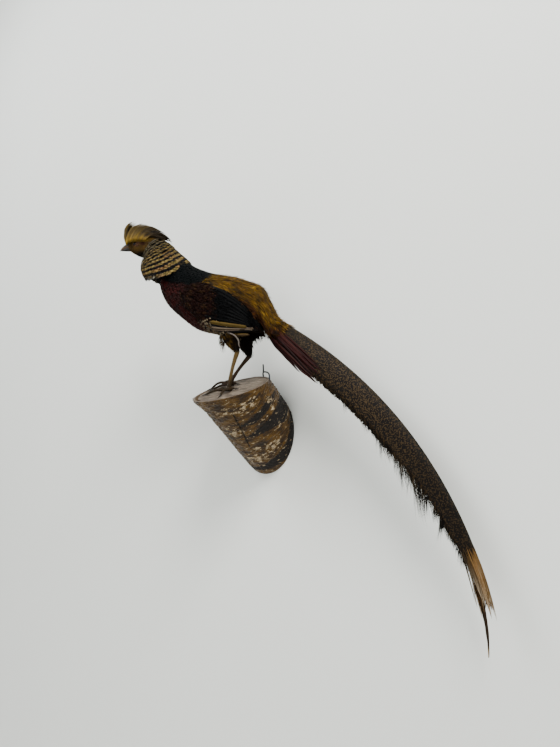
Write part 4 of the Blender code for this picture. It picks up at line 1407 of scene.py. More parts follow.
for part, name in enumerate(SIDES):
    # a limb's ring starts on the bird's left; the shank's front and a toe's top are a quarter turn on
    form = shank(name)
    front = quarter_towards(form, 0)
    rows, turns = np.linspace(0.04, 0.92, 24), (front - 0.42, front + 0.42)
    plate_parts.append(plates(form, rows, turns, 0.004, 0.0032, 111 + part, part * 5))
    for number, shape in enumerate(TOES[name]):
        form = toe(name, *shape)
        up = quarter_towards(form, 2)
        rows = np.linspace(0.1, 0.93, max(int(shape[1] / 0.0026), 3))
        seed, strip = 121 + part * 10 + number, part * 5 + number + 1
        plate_parts.append(plates(form, rows, (up,), 0.0034, 0.004, seed, strip))
plate_look = Finish("horny_plates", 0.18)
dust = plate_look.noise(plate_look.place(), 500.0, 3.0)
lie = plate_look.parts(plate_look.held("quill"))[1]
shaded = plate_look.mix((1 - lie.step(0.0, 0.4)) * 0.5 + dust * 0.4, plate_look.held("marking", "Color"),
    (0.3, 0.22, 0.16), "MULTIPLY")
plate_look.wear(shaded, 0.4 + dust * 0.3, dust, 0.0002)
coat("leg_plates", plate_parts, plate_look, "leg_scales")

# %% Claws: black horn, curved down to a point
claw_sets = [closed_tube(ring_grid(toe(name, *shape, claw=True), 14, 14)) for name in SIDES
    for shape in TOES[name]]
claw_points, claw_faces = together(*claw_sets)
lifted = claw_points @ FACE_IN_BIRD
claw_points = claw_points + np.maximum(0.0004 - lifted, 0)[:, None] * FACE_IN_BIRD
claw_look = Finish("claw_horn_black", 0.25)
streak = claw_look.noise(claw_look.stretched(claw_look.place(), (400.0, 400.0, 900.0)), 1.0, 3.0)
horn = claw_look.ramp(streak, (0.3, (0.006, 0.0045, 0.004)), (0.75, (0.034, 0.024, 0.017)))
claw_look.wear(horn, 0.28 + streak * 0.3, streak, 0.0001)
make_piece("claws", to_wall(claw_points), claw_faces, claw_look, "claw_horn",
    [f"claw_{name}_{k}" for name in SIDES for k in (1, 2, 3, 4)])

# %% [markdown]
# ## The tail
#
# The tail's long feathers lie over each other like roof tiles: each is a strip that arches out and down
# from a common ridge, and the ridge itself bends down more and more towards the tip. The upper edge is
# smooth, and the lower one is frayed, because there the barbs have come apart.

# %% The ridge and the arch over it
TAIL_START, TAIL_LENGTH, TAIL_SWING = np.array((-0.0911, 0.001, 0.1253)), 0.612, math.radians(23)
TAIL_DROOP, DROOP_POWER, FAR_FEATHER, FAR_SINK = (math.radians(-32), math.radians(-81)), 1.35, 1.035, 0.016
TAIL_SHAPE = np.array((  # place along the tail, depth of the side, half width of the roof
    (0.0, 0.031, 0.012), (0.03, 0.034, 0.014), (0.16, 0.042, 0.016), (0.26, 0.043, 0.016),
    (0.46, 0.039, 0.015), (0.56, 0.035, 0.013), (0.64, 0.028, 0.011), (0.74, 0.022, 0.009),
    (0.82, 0.018, 0.007), (0.9, 0.013, 0.004), (1.0, 0.004, 0.002)))
fine_share = np.linspace(0, FAR_FEATHER, 400)
pitch = TAIL_DROOP[0] + (TAIL_DROOP[1] - TAIL_DROOP[0]) * fine_share**DROOP_POWER
fine_way = np.stack([np.cos(pitch) * math.cos(math.pi - TAIL_SWING),
    np.cos(pitch) * math.sin(math.pi - TAIL_SWING), np.sin(pitch)], -1)
fine_line = TAIL_START + np.cumsum(fine_way, axis=0) * TAIL_LENGTH * fine_share[1]


def ridge(share):
    """Where the ridge is, which way it runs, and the directions aside and above it."""
    line, way = (np.stack([np.interp(share, fine_share, table[:, k]) for k in range(3)], -1)
        for table in (fine_line, fine_way))
    way = unit(way)
    aside = unit(np.stack([-way[..., 1], way[..., 0], 0 * way[..., 0]], -1))
    return line, way, aside, unit(np.cross(way, np.cross((0, 0, 1.0), way)))


def arch(share, angle, side, grow=0.0):
    """A point on a feather's arch: out by the sine of the angle and down by one minus its cosine."""
    share, angle = np.broadcast_arrays(np.asarray(share, float), np.asarray(angle, float))
    line, _, aside, above = ridge(share)
    depth, half = (np.interp(share, TAIL_SHAPE[:, 0], TAIL_SHAPE[:, k]) for k in (1, 2))
    out = (half + grow) * np.sin(angle) + 0.0003
    down = (depth + grow) * (1 - np.cos(angle)) - grow + FAR_SINK * share**3 * (side < 0)
    return line - aside * (side * out)[..., None] - above * down[..., None]


print("the tail's tip is at", np.round(to_wall(ridge(np.array(FAR_FEATHER))[0]), 3))


# %% A long vaulted feather with a frayed lower edge
def vane(side, reach, taper, turn, grow, thick, fray, seed, rings=360, across=15):
    """Two arches a feather's thickness apart; the lower edge is cut back by noise along the feather."""
    share = np.linspace(*reach, rings)
    breadth = np.interp(share, taper, (1, 0.12))
    ragged = drift_along(share * 220, seed) + 0.7 * drift_along(share * 700, seed + 3)
    breadth = breadth * (1 - fray * soft(0.02, 0.3, share) * ragged)
    angle = np.radians(turn[0] + (turn[1] - turn[0]) * breadth[:, None] * np.linspace(0, 1, across))
    outer, inner = arch(share[:, None], angle, side, grow), arch(share[:, None], angle, side, grow - thick)
    grid = np.concatenate([outer, inner[:, ::-1]], axis=1)
    metres = np.broadcast_to(share[:, None] * TAIL_LENGTH, grid.shape[:2])
    width = np.concatenate([angle, angle[:, ::-1]], axis=1) * 0.03
    weave = np.stack([metres, width, np.broadcast_to(share[:, None], grid.shape[:2])], -1)
    points, faces = closed_tube(grid)
    flat = np.concatenate([weave.reshape(-1, 3), weave[:1].mean(1), weave[-1:].mean(1)])
    return points, faces, flat


def vane_map(flat, part, parts):
    """OFBake for a long feather: along it and across it, in a strip of its own."""
    return np.stack([0.01 + 0.98 * np.clip(flat[:, 0] / 0.65, 0, 1),
        (part + 0.02 + 0.96 * np.clip(flat[:, 1] / 0.06, 0, 1)) / parts], -1)


# %% The tail's finish: black-brown, finely freckled with buff, cinnamon at the tip
tail_look = Finish("freckled_tail", 0.08)
metres, width, share = tail_look.parts(tail_look.held("weave"))
spot = tail_look.place()
warp = tail_look.noise(spot, 160.0, 2.0)
cell = tail_look.cells(spot, 430.0, "SMOOTH_F1")
net = tail_look.noise(spot, 560.0, 1.5, 0.4)
freckle = (net + (0.5 - cell) * 0.35 + warp * 0.06).step(0.56, 0.66)
lit = freckle * (1 - (metres / 0.3).step(0.5, 1.5) * 0.5) * (0.8 + (metres / 0.12).step(0.0, 1.0) * 0.2)
slant = (metres * 900.0 - width * 700.0).wave()
buff = tail_look.mix(warp, (0.06, 0.036, 0.0135), (0.034, 0.021, 0.0085))
dark = tail_look.mix(warp, (0.0022, 0.0014, 0.0009), (0.0012, 0.0008, 0.0006))
freckled = tail_look.mix(lit * 0.9, dark, buff)
cinnamon = tail_look.mix((metres * 9.0 + width * 160.0 + warp * 0.8).wave(), (0.095, 0.046, 0.0105),
    (0.185, 0.105, 0.034))
tipped = tail_look.mix((share + warp * 0.05 - 0.025).step(0.825, 0.865), freckled, cinnamon)
tail_look.wear(tail_look.mix(slant * 0.22, tipped, (0.4, 0.36, 0.32), "MULTIPLY"), 0.45 + warp * 0.2,
    slant * 0.6 + net * 0.4, 0.00015)

# %% The four broad feathers of the tail
VANES = (  # side, reach, taper, first and last angle, growth, thickness, fray, seed
    (1, (0, 0.915), (0.79, 0.89), (2, 100), 0.0, 0.001, 0.07, 41),
    (-1, (0, FAR_FEATHER), (0.76, 0.93), (2, 100), 0.0, 0.001, 0.07, 42),
    (1, (0, 0.66), (0.54, 0.66), (4, 104), -0.0022, 0.0011, 0.05, 43),
    (-1, (0, 0.66), (0.54, 0.66), (4, 104), -0.0022, 0.0011, 0.05, 44),
)
built = [vane(*numbers) for numbers in VANES]
points, faces = together(*[(p, f) for p, f, _ in built])
flats = [flat for _, _, flat in built]
maps = [vane_map(flat, part, 4) for part, flat in enumerate(flats)]
make_piece("tail_vanes", to_wall(points), faces, tail_look, "tail_feathers",
    [f"tail_{row}_{name}" for row in ("central", "outer") for name in SIDES], weave=np.concatenate(flats),
    OFBake=np.concatenate(maps))

# %% Loose barbs along the lower edge
BARB_LENGTHS = (
    (0.1, 0.3, 0.45, 0.58, 0.63, 0.7, 0.85, 0.93),
    (0.005, 0.007, 0.014, 0.026, 0.027, 0.012, 0.012, 0.01),
)
barb_parts = []
for part, (name, side) in enumerate(SIDES.items()):
    chance = default_rng(131 + part)
    n = 2300
    share = np.sort(chance.uniform(0.1, 0.93, n))
    breadth = np.interp(share, (0.8, 0.94) if side > 0 else (0.76, 0.93), (1, 0.12))
    angle = np.radians(2 + 98 * breadth * chance.uniform(0.84, 0.98, n))
    root = arch(share, angle, side, 0.0003)
    _, way, aside, above = ridge(share)
    clump = drift_along(share * 60, 9)
    own_share = 0.22 + 1.05 * chance.random(n) ** 1.7
    long = np.interp(share, *BARB_LENGTHS) * (0.3 + 2.7 * clump**2) * own_share
    # barbs of one clump lean towards its middle, so that they end in a point
    pull_in = (drift_along(share * 130, 19) - 0.5)[:, None]
    hang = above * chance.uniform(0.35, 0.6, n)[:, None]
    steer = unit(way * (0.75 + 0.9 * pull_in) - hang - aside * side * 0.05)
    t = np.linspace(0, 1, 5)
    spine = root[:, None] + steer[:, None] * (long[:, None] * t)[..., None]
    spine = spine + way[:, None] * t[:, None] ** 2 * (long * 0.25)[:, None, None]
    facing = np.broadcast_to((-aside * side)[:, None], spine.shape)
    half = np.interp(t, (0, 0.4, 1), (1, 0.7, 0)) * chance.uniform(0.00018, 0.00036, n)[:, None]
    tones = varied(painted((0.0022, 0.0014, 0.001), n), 133 + part, 0.6)
    freckled = soft(0.52, 0.62, drift(root, 0.002, 20))[:, None]
    buff = (np.array((0.055, 0.034, 0.014)) - tones) * freckled
    tones = tones[:, None] + root_to_tip(buff, (1, 0.8, 0.4, 0.1, 0))
    ruddy = (share > 0.87) & (chance.random(n) < 0.5)
    tones[ruddy] = (0.11, 0.048, 0.012)
    barb_parts.append((blades(spine, facing, half), tones, np.stack([share, (part + 0.5 + 0 * share) / 2],
        -1), 5, 135 + part))

# %% Cinnamon strands where the near feather ends, in five bundles
chance = default_rng(141)
n = 260
first = chance.uniform(0.8, 0.9, n)
across_tip = chance.uniform(0.0, 1.0, n)
angle = np.radians(2 + 98 * np.interp(first, (0.8, 0.94), (1, 0.12)) * across_tip * 0.9)
bundle = np.minimum((across_tip * 5).astype(int), 4)
last = np.array((0.962, 0.95, 0.938, 0.956, 0.935))[bundle] - 0.03 * chance.random(n) ** 2
t = np.linspace(0, 1, 8)
path = first[:, None] + (last - first)[:, None] * t
aim = np.radians(np.array((4.0, 26.0, 44.0, 66.0, 84.0)))[bundle]
spread = angle[:, None] * (1 - t**0.8) + aim[:, None] * t**0.8
side_of = np.where(chance.random(n) < 0.75, 1.0, -1.0)[:, None] * np.ones_like(path)
spine = arch(path, spread, side_of, 0.0006)
_, way, aside, above = ridge(path)
facing = -aside * side_of[..., None]
half = np.interp(t, (0, 0.3, 0.8, 1), (0.8, 1, 0.7, 0)) * chance.uniform(0.0003, 0.0008, n)[:, None]
root_tone = varied(painted((0.13, 0.066, 0.016), n), 142, 0.8) * np.where(bundle == 4, 0.25, 1.0)[:, None]
dusky = (chance.random(n) < 0.35)[:, None]
tip_tone = np.where(dusky, np.array((0.02, 0.011, 0.006)), np.array((0.46, 0.36, 0.24)))
tones = np.stack([root_tone * (1 - share) + tip_tone * share for share in np.linspace(0, 1, 8) ** 1.5],
    axis=1)
barb_parts.append((blades(spine, facing, half), tones, np.stack([first, across_tip], -1), 8, 143))

# %% The far feather ends in a narrow brown point: a few long strands beside its shaft
chance = default_rng(145)
n = 9
t = np.linspace(0, 1, 14)
first, last = chance.uniform(0.86, 0.9, n), np.linspace(0.985, FAR_FEATHER, n)
path = first[:, None] + (last - first)[:, None] * t
fan = np.radians(np.linspace(60, 8, n))[:, None] * (1 - 0.4 * t)
spine = arch(path, fan, -1.0, 0.0004)
facing = ridge(path)[2]
half = np.interp(t, (0, 0.2, 0.7, 1), (0.6, 1, 0.85, 0)) * np.linspace(0.0014, 0.0024, n)[:, None]
tones = varied(painted((0.03, 0.016, 0.007), n), 146, 0.9)
barb_parts.append((blades(spine, facing, half), tones, np.stack([first, 0.9 + 0 * first], -1), 14, 147))
barb_look = feather_finish("loose_barbs", 0.08, barbs=5.0, depth=0.25, root=0.0, gloss=0.5)
coat("tail_barbs", barb_parts, barb_look, "tail_feathers")


# %% [markdown]
# ## Scarlet plumes
#
# Narrow dark red plumes with pale shafts lie along the lower side of the tail's root. They follow the
# same arch as the broad feathers, a little outside it, so they need no new path of their own.

# %% Plumes as narrow blades on the arch
plume_parts = []
for part, (name, side) in enumerate(SIDES.items()):
    chance = default_rng(151 + part)
    n = 26
    start = chance.uniform(-0.02, 0.03, n)
    stop = chance.uniform(0.13, 0.225, n)
    first = np.radians(np.linspace(66, 108, n) + chance.normal(0, 2, n))
    last = first + np.radians(chance.uniform(-2, 10, n))
    t = np.linspace(0, 1, 18)
    path = start[:, None] + (stop - start)[:, None] * t
    angle = np.minimum(first[:, None] + (last - first)[:, None] * t, math.radians(112))
    spine = arch(np.maximum(path, 0.0), angle, side, (0.0006 + 0.0022 * chance.random(n))[:, None])
    spine = spine + ridge(np.array(0.0))[1] * np.minimum(path, 0.0)[..., None] * TAIL_LENGTH
    _, way, aside, above = ridge(np.maximum(path, 0.0))
    facing = -aside * side
    half = np.interp(t, (0, 0.15, 0.6, 0.9, 1), (0.5, 1, 0.9, 0.45, 0)) * chance.uniform(0.002, 0.0034,
        n)[:, None]
    tones = varied(painted((0.016, 0.001, 0.0007), n), 153 + part, 0.9)
    roots = np.stack([np.clip(start, 0, 1), (part + (first / 2)) / 2], -1)
    plume_parts.append((blades(spine, facing, half, camber=0.1), tones, roots, 18, 155 + part))
plume_look = Finish("scarlet_plumes", 0.1)
across, lie, own = plume_look.parts(plume_look.held("quill"))
fine = plume_look.noise(plume_look.place(), 500.0, 2.0)
slant = (lie * 70.0 - abs(across) * 2.5 + own * 5.0).wave()
shaft = (1 - abs(across).step(0.05, 0.2)) * own.step(0.72, 0.78)
red = plume_look.mix(slant * 0.35 + fine * 0.4, plume_look.held("marking", "Color"), (0.25, 0.2, 0.2),
    "MULTIPLY")
plume_look.wear(plume_look.mix(shaft * 0.5, red, (0.13, 0.036, 0.022)), 0.42 + fine * 0.2,
    slant * 0.6 + shaft, 0.00015)
coat("plume_coat", plume_parts, plume_look, "scarlet_plume", ("plume_left", "plume_right"))

# %% Gold coverts over the root of the tail
def tail_sleeve(along, turn):
    """A closed ring round the tail's root: along 1 at the root and 0 where the coverts end."""
    share = 0.13 * (1 - np.clip(along, 0, 1))
    line, _, aside, above = ridge(share)
    depth, half = (np.interp(share, TAIL_SHAPE[:, 0], TAIL_SHAPE[:, k]) for k in (1, 2))
    middle = line - above * (depth * 0.5)[..., None]
    out = aside * ((half + 0.0022) * np.cos(turn))[..., None]
    return middle + out + above * ((depth * 0.5 + 0.0022) * np.sin(turn))[..., None]


along, turn = roots_on(tail_sleeve, 0.0021, 161, limits=(0.4, 0.995))
chance = default_rng(162)
high = np.sin(turn)
edge = np.interp(high, (-1, -0.2, 0.6, 1), (0.97, 0.95, 0.93, 0.92))
keep = along > edge + chance.uniform(-0.05, 0.05, len(along))
along, turn, high = along[keep], turn[keep], high[keep]
n = len(along)
sleeve = grown(tail_sleeve, along, turn, chance, (0.01, 0.02), (0.001, 0.0024), (0.0002, 0.0016), 0.1,
    root=0.002, shape=HAIR, camber=0.3)
below = 0.85 * soft(0.35, -0.45, high + chance.normal(0, 0.25, n))
tones = varied(blend(painted("gold", n) * 0.8, "orange", below), 163, 0.9)
tones = root_to_tip(tones, (0.4, 0.55, 0.8, 1.0, 1.15, 1.25))
coat("tail_coverts", [(sleeve, tones, unwrap(along, turn), 6, 164)], gold_look, "golden_rump")

# %% [markdown]
# ## Bill and eyes
#
# The bill is two horn sheaths, the upper one hooked over the lower. The glass eye is a polished bead with
# its iris painted in: one attribute holds how far a point lies from the pupil's middle.

# %% Two horn sheaths
upper_rows = mm((
    (233, 0, 287.8, 5.6), (242, 0, 286.2, 5), (248.5, 0, 283.2, 3.7), (253, 0, 279.8, 2.1),
    (255.6, 0, 276.4, 0.5),
))
lower_rows = mm((
    (232, 0, 280.2, 4.6), (240, 0, 279.4, 3.8), (247.5, 0, 278.4, 2.4), (252.5, 0, 277, 0.6),
))


def sheath(rows, flat):
    """A limb squeezed sideways, with a sharper ridge along its top."""
    form = limb(rows)

    def surface(along, turn):
        point = form(along, turn)
        point[..., 1] *= flat * (1 - 0.18 * np.sin(turn) ** 2)
        return point

    return surface


upper_sheath = closed_tube(ring_grid(sheath(upper_rows, 0.86), 60, 40))
lower_sheath = closed_tube(ring_grid(sheath(lower_rows, 0.8), 50, 36))
bill_points, bill_faces = together(upper_sheath, lower_sheath)
bill_look = Finish("bill_horn_sheath", 0.18)
height = bill_look.held("rise", "Fac")
base = bill_look.held("base", "Fac")
grain = bill_look.noise(bill_look.place(), 700.0, 3.0)
band = 1 - abs((height + grain * 0.25 - 0.55) * 2.2).step(0.35, 1.0)
horn = bill_look.mix(band, (0.006, 0.0042, 0.0024), (0.085, 0.05, 0.03))
horn = bill_look.mix(base * 0.8, horn, (0.006, 0.004, 0.0025))
gape = bill_look.held("gape", "Fac")
dark_edge = bill_look.mix(gape * 0.85, horn, (0.003, 0.002, 0.0015))
bill_look.wear(dark_edge, 0.36 + grain * 0.25, grain, 0.00015)
# rise runs from 0 at the lower edge to 1 at the ridge of the upper sheath
gape_line = np.interp(bill_points[:, 0], (0.232, 0.2425, 0.25, 0.2556), (0.2822, 0.2812, 0.2793, 0.2764))
rise = soft(-0.002, 0.0075, bill_points[:, 2] - gape_line)
base_mask = soft(0.2435, 0.2385, bill_points[:, 0]) * soft(0.284, 0.288, bill_points[:, 2])
gape_mask = soft(0.0008, 0.0002, abs(bill_points[:, 2] - gape_line))
make_piece("bill", to_wall(bill_points), bill_faces, bill_look, "bill_horn", ("bill_upper", "bill_lower"),
    rise=rise, base=base_mask, gape=gape_mask)

# %% Glass eyes
EYE_RADIUS = 0.0046
eye_sets, gaze = [], []
for side in SIDES.values():
    polar, turn = crossed(np.linspace(0.03, math.pi - 0.03, 32), np.linspace(0, TURN, 40, False))
    grid = np.stack([np.sin(polar) * np.cos(turn), side * np.cos(polar), np.sin(polar) * np.sin(turn)],
        -1) * EYE_RADIUS
    points, faces = closed_tube(grid + EYE * (1, side, 1))
    eye_sets.append((points, faces))
    gaze.append(np.concatenate([polar.ravel(), (0, math.pi)]))
eye_points, eye_faces = together(*eye_sets)
eye_look = Finish("glass_eye_bead", 0.16, Roughness=0.1)
off = eye_look.held("gaze", "Fac")
fibre = eye_look.noise(eye_look.place(), 1500.0, 2.0)
iris = eye_look.mix(fibre, (0.022, 0.005, 0.0014), (0.009, 0.0022, 0.0008))
pupil = eye_look.mix(off.step(0.42, 0.5), (0.002, 0.002, 0.002), iris)
eye_look.wear(eye_look.mix(off.step(0.78, 0.95), pupil, (0.01, 0.006, 0.004)))
make_piece("glass_eyes", to_wall(eye_points), eye_faces, eye_look, "glass_eye", ("eye_left", "eye_right"),
    gaze=np.concatenate(gaze))

# %% [markdown]
# ## The log
#
# The bark is a thin tube round the wood. It curls out where the saw left it, its paper peels in pale
# curls that run round the trunk, and dark scars cross it in bands. The mesh stores how far round the log
# and how far up each point lies, and three masks worked out from that: scar, peel and crack.

# %% Rings of a leaning cylinder between the wall and the sawn face
LOG_RADIUS, BARK, BARK_LIP, BARK_FLARE, FLARE_TURN = 0.0655, 0.0035, 0.0008, 0.0055, math.radians(137)
LOG_SIDE, LOG_UNDER = np.array((1.0, 0, 0)), np.cross((1.0, 0, 0), LOG_AXIS)


def log_point(share, turn, radius, lift):
    """Out from the axis by the radius; then along it, a share of the way from the wall to the sawn face."""
    out = np.cos(turn)[..., None] * LOG_SIDE + np.sin(turn)[..., None] * LOG_UNDER
    ring = radius[..., None] * out
    wall = -ring[..., 1] / LOG_AXIS[1]
    sawn = (FACE_CENTRE + FACE_NORMAL * lift - ring) @ FACE_NORMAL / (LOG_AXIS @ FACE_NORMAL)
    rise = wall + share * (sawn - wall)
    return ring + rise[..., None] * LOG_AXIS, rise


# %% Where the bark is scarred, peeled and cracked
# scars run round the log: angle from its right side, height of the middle, half width
SCARS = (((-3.1, 0.088, 0.004), (-0.9, 0.08, -0.004), (-0.3, 0.09, 0.005), (0.2, 0.094, 0.009),
    (0.72, 0.091, 0.009), (1.15, 0.092, 0.004), (1.35, 0.092, -0.006), (2.2, 0.088, 0.003),
    (3.1, 0.088, 0.004)), ((-3.1, 0.05, 0.01), (-0.8, 0.052, 0.014), (-0.3, 0.055, 0.02),
    (0.0, 0.055, 0.02), (0.28, 0.06, 0.015), (0.7, 0.063, 0.01), (1.2, 0.063, 0.003),
    (1.45, 0.062, -0.006), (2.4, 0.056, 0.006), (3.1, 0.05, 0.01)), ((-3.1, -0.02, 0.012),
    (-0.5, 0.012, 0.022), (0.06, -0.002, 0.02), (0.41, -0.01, 0.014), (1.1, -0.019, 0.011),
    (1.82, -0.028, 0.005), (3.1, -0.05, 0.01)))
# peeled spots: angle, height, half length round the log in radians, half height
PEELS = ((0.82, 0.124, 0.28, 0.012), (0.46, 0.122, 0.16, 0.012), (-0.02, 0.096, 0.12, 0.012),
    (0.09, 0.082, 0.1, 0.008), (1.22, 0.136, 0.34, 0.006), (1.4, 0.083, 0.34, 0.013),
    (1.15, 0.03, 0.28, 0.008), (1.25, 0.004, 0.42, 0.011), (0.75, 0.018, 0.34, 0.013),
    (1.67, 0.004, 0.22, 0.013), (0.55, 0.078, 0.26, 0.004), (0.25, 0.045, 0.18, 0.005),
    (2.6, 0.06, 0.3, 0.014), (-1.6, 0.07, 0.3, 0.014), (-2.4, 0.03, 0.3, 0.012))


def bark_wear(bark):
    """Scar: how far a point lies inside a band. Peel: 1 in a spot's middle. Crack: 1 along one line."""
    angle, up = (bark[:, 0] / LOG_RADIUS + math.pi) % (TURN) - math.pi, bark[:, 1]
    scar, peel = np.full(len(bark), -1.0), np.zeros(len(bark))
    for line in SCARS:
        places, middle, half = np.array(line).T
        inside = np.interp(angle, places, half) - abs(up - np.interp(angle, places, middle))
        scar = np.maximum(scar, inside / 0.012)
    for middle, height, wide, high in PEELS:
        peel = np.maximum(peel, 1 - np.hypot((angle - middle) / wide, (up - height) / high) * 0.7)
    line = np.interp(up, (0.038, 0.08, 0.123), (1.35, 1.21, 1.11))
    crack = soft(0.0016, 0.0005, abs(angle - line) * LOG_RADIUS) * soft(0.034, 0.042, up) * soft(0.128,
        0.118, up)
    return np.stack([scar, np.clip(peel, 0, 1), crack], -1)


# %% The bark's shell
sides, rows = 300, 150
share, turn = crossed(np.linspace(0, 1, rows), np.linspace(0, TURN, sides, False))
flare = BARK_FLARE * np.clip(np.cos(turn - FLARE_TURN), 0, 1) ** 5 * soft(0.8, 1.0, share)
place, rise = log_point(share, turn, LOG_RADIUS + flare, BARK_LIP)
around = turn * LOG_RADIUS
ridges = drift(np.stack([around, rise * 3.2, 0 * rise], -1), 0.011, 1) - 0.5
warty = drift(place, 0.0035, 2) - 0.5
wear = bark_wear(np.stack([around, rise], -1).reshape(-1, 2)).reshape(*rise.shape, 3)
paper = drift(np.stack([around, rise * 2.0, 0 * rise], -1), 0.0045, 3)
flaky = soft(0.55, 0.62, paper + 0.16 * wear[..., 1] - 0.06)
pebbles = soft(-0.1, 0.2, wear[..., 0]) * (drift(place, 0.0022, 4) - 0.9)
relief = ridges * 0.0014 + warty * 0.0009 + flaky * 0.001 + pebbles * 0.001 - wear[..., 2] * 0.0012
relief = relief * soft(0, 0.02, share) - 0.0006
outer, rise = log_point(share, turn, LOG_RADIUS + flare + relief, BARK_LIP)
inner, inner_rise = log_point(share[::-1], turn, LOG_RADIUS + flare[::-1] * 0.9 - BARK, BARK_LIP)
shell = np.concatenate([outer, inner])
pairs = ((around, around), (rise, inner_rise), (relief, relief * 0 - 1))
bark_places = np.stack([np.concatenate(pair) for pair in pairs], -1).reshape(-1, 3)
bark_faces = facing_out(shell.reshape(-1, 3), sheet_faces(2 * rows, sides))
print("bark rises from", round(float(rise.min()), 3), "to", round(float(rise.max()), 3), "along the axis")

# %% Bark: varnished ochre paper, pale peeled curls, dark scars
bark_look = Finish("birch_bark_varnished", 0.15, **{"Coat Weight": 0.12, "Coat Roughness": 0.3})
bark = bark_look.held("bark")
depth_log = bark_look.parts(bark)[2]
long_way = bark_look.stretched(bark, (1.0, 2.6, 1.0))
coarse = bark_look.noise(long_way, 38.0, 4.0)
fine = bark_look.noise(long_way, 210.0, 4.0)
grit = bark_look.noise(bark_look.place(), 520.0, 3.0)
ochre = bark_look.ramp(coarse + fine * 0.35 - 0.17, (0.3, (0.006, 0.0028, 0.0008)),
    (0.45, (0.028, 0.0125, 0.0016)), (0.6, (0.082, 0.04, 0.004)), (0.75, (0.018, 0.0078, 0.0014)))
band, peel, crack = bark_look.parts(bark_look.held("wear"))
scar = (band + (coarse - 0.5) * 1.1 + (fine - 0.5) * 0.9 + (grit - 0.5) * 0.4).step(0.06, 0.22)
charcoal = bark_look.mix(grit, (0.0012, 0.001, 0.0009), (0.014, 0.01, 0.008))
scarred = bark_look.mix(scar, ochre, charcoal)
curl = bark_look.noise(bark_look.stretched(bark, (1.0, 2.2, 1.0)), 95.0, 4.0, 0.62)
peeled = (curl + (coarse - 0.5) * 0.3 + peel * 0.17).step(0.615, 0.66)
peeled_colour = bark_look.mix(fine.step(0.3, 0.7), (0.44, 0.35, 0.225), (0.13, 0.08, 0.03))
bark_colour = bark_look.mix(crack, bark_look.mix(peeled, scarred, peeled_colour), (0.0015, 0.001, 0.0008))
rim = (0 - depth_log).step(0.01, 0.06)
bark_colour = bark_look.mix(rim, bark_colour, bark_look.mix(grit, (0.03, 0.018, 0.01),
    (0.16, 0.105, 0.06)))
height = peeled * 0.7 + fine * 0.8 + grit * 0.35 - scar * 0.4 - crack * 1.5
bark_look.wear(bark_colour, 0.4 + scar * 0.35 + grit * 0.15, height, 0.0012)
make_piece("bark", shell.reshape(-1, 3), bark_faces, bark_look, "birch_bark", ("log_bark",),
    bark=bark_places, wear=bark_wear(bark_places))

# %% The sawn face keeps its plain solid and gets the grain of sawn wood
wood_look = Finish("sawn_birch", 0.3)
spot = wood_look.place()
streaks = wood_look.noise(wood_look.stretched(spot, (60.0, 420.0, 420.0)), 1.0, 4.0)
rings = wood_look.noise(spot, 30.0, 3.0)
stain = wood_look.noise(spot, 55.0, 4.0)
sawn = wood_look.ramp(streaks, (0.36, (0.022, 0.015, 0.01)), (0.5, (0.092, 0.07, 0.049)),
    (0.66, (0.205, 0.162, 0.12)))
sawn = wood_look.mix(stain.step(0.45, 0.65) * 0.7, sawn, (0.028, 0.017, 0.01))
wood_look.wear(sawn, 0.75 + rings * 0.1, streaks, 0.0006)
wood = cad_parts["log_wood"]
wood.data.materials.clear()
wood.data.materials.append(wood_look.material)

# %% The bent wire at the back
HANGER_LOOP = mm((
    (17.5, -36, 95), (18, -44, 105), (23.5, -52, 111.5), (35, -58, 110.5), (47, -64, 105),
    (53, -68.5, 93), (56.5, -70, 80),
))
HANGER_END = mm((
    (23.5, -52, 111.5), (25.5, -55, 119), (26, -57, 126.5),
))
WIRE_RADIUS = 0.0014


def wire_run(line):
    """A round wire through the corners of a line."""
    return closed_tube(ring_grid(limb([(*corner, WIRE_RADIUS) for corner in line]), 90, 16))


wire_points, wire_faces = together(wire_run(HANGER_LOOP), wire_run(HANGER_END))
wire_look = Finish("blued_steel_wire", Metallic=0.9)
patina = wire_look.noise(wire_look.place(), 350.0, 3.0)
steel = wire_look.ramp(patina, (0.35, (0.004, 0.006, 0.012)), (0.7, (0.02, 0.023, 0.03)))
wire_look.wear(steel, 0.32 + patina * 0.3, patina, 0.0001)
make_piece("wire", wire_points, wire_faces, wire_look, "hanger_steel", ("hanger_wire",))

# %% [markdown]
# ## The room
#
# A pale wall behind the log and a floor far below are only a stage. The light is soft and comes mostly
# from the upper right in front, like ceiling lamps in a white room.

# %% Stage, seen only from its front
def plain_stage(name, corners, colour):
    """One flat rectangle that is clear from behind, so that other views see past it."""
    mesh = bpy.data.meshes.new(name)
    mesh.from_pydata(corners, [], [(0, 1, 2, 3)])
    stage_look = Finish(name + "_paint", Roughness=0.9)
    speckle = stage_look.noise(stage_look.place(), 3.0, 2.0)
    stage_look.wear(stage_look.mix(speckle, tuple(c * 0.97 for c in colour), colour))
    clear = stage_look.node("BsdfTransparent")
    behind = stage_look.node("NewGeometry", {}, {}, "Backfacing")
    solid = Value(stage_look, stage_look.shader.outputs[0])
    both = stage_look.node("MixShader", {}, {0: behind, 1: solid, 2: clear})
    stage_look.tree.links.new(both.socket, stage_look.tree.nodes["Material Output"].inputs["Surface"])
    mesh.materials.append(stage_look.material)
    made = bpy.data.objects.new(name, mesh)
    bpy.context.scene.collection.objects.link(made)


FLOOR, WALL = -1.5, 0.0008
wall_corners = ((-3, WALL, FLOOR), (3, WALL, FLOOR), (3, WALL, 2.5), (-3, WALL, 2.5))
floor_corners = ((-3, -4, FLOOR), (3, -4, FLOOR), (3, WALL, FLOOR), (-3, WALL, FLOOR))
plain_stage("wall", wall_corners, (0.72, 0.735, 0.705))
plain_stage("floor", floor_corners, (0.7, 0.7, 0.68))


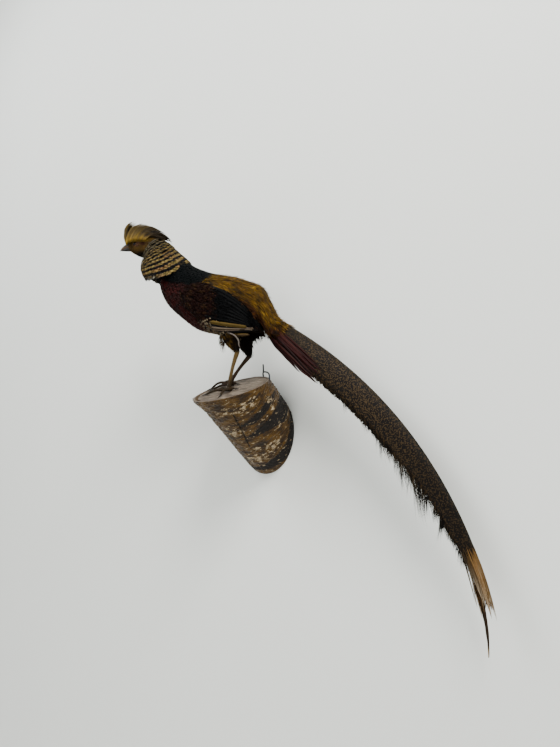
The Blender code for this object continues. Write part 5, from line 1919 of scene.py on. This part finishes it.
# %% Lamps
def stand(made, place, right, up, back):
    """Places a lamp or camera: three directions and a place are the columns of its matrix."""
    bpy.context.scene.collection.objects.link(made)
    made.matrix_world = Matrix([[right[k], up[k], back[k], place[k]] for k in range(3)] + [[0, 0, 0, 1]])


def lamp(name, place, target, size, power, colour=(1, 1, 1)):
    """A square area light that looks at a point."""
    light = bpy.data.lights.new(name, "AREA")
    light.size, light.energy, light.color = size, power, colour
    back = unit(np.array(place, float) - np.array(target, float))
    right = unit(np.cross((0, 0, 1.0), back))
    stand(bpy.data.objects.new(name, light), place, right, np.cross(back, right), back)


lamp("ceiling_right", (1.3, -1.3, 2.0), (0, -0.1, 0.1), 1.0, 108.0, (1.0, 0.99, 0.96))
lamp("ceiling_left", (-1.5, -1.6, 1.9), (0, -0.1, 0.1), 1.1, 56.0, (0.97, 0.99, 1.0))
lamp("room_fill", (0.5, -2.6, -0.6), (0.05, -0.1, 0.0), 2.2, 28.0, (1.0, 0.99, 0.97))
world = bpy.data.worlds.new("room_light")
bpy.context.scene.world = world
world.use_nodes = True
world.node_tree.nodes["Background"].inputs["Color"].default_value = (0.8, 0.82, 0.8, 1)
world.node_tree.nodes["Background"].inputs["Strength"].default_value = 0.85

# %% [markdown]
# The camera stands below the bird and to its right, looks up, and is tilted a little. Two angles give the
# way it looks and a third one its tilt, which is all that a matrix of directions holds.

# %% The camera
CAMERA_PLACE, FOCAL_LENGTH, SENSOR = (0.635, -0.8, -0.0745), 24.82, 36.0
CAMERA_TURN, CAMERA_RISE, CAMERA_TILT = math.radians(127.37), math.radians(10.89), math.radians(2.96)
flat_way = np.array((math.cos(CAMERA_TURN), math.sin(CAMERA_TURN), 0))
ahead = flat_way * math.cos(CAMERA_RISE) + (0, 0, math.sin(CAMERA_RISE))
level = unit(np.cross(ahead, (0, 0, 1.0)))
above = np.cross(level, ahead)
camera_data = bpy.data.cameras.new("camera")
camera_data.sensor_width, camera_data.lens, camera_data.clip_start = SENSOR, FOCAL_LENGTH, 0.01
camera = bpy.data.objects.new("camera", camera_data)
stand(camera, CAMERA_PLACE, level * math.cos(CAMERA_TILT) + above * math.sin(CAMERA_TILT),
    above * math.cos(CAMERA_TILT) - level * math.sin(CAMERA_TILT), -ahead)
bpy.context.scene.camera = camera
print("the camera looks", np.round(ahead, 3))
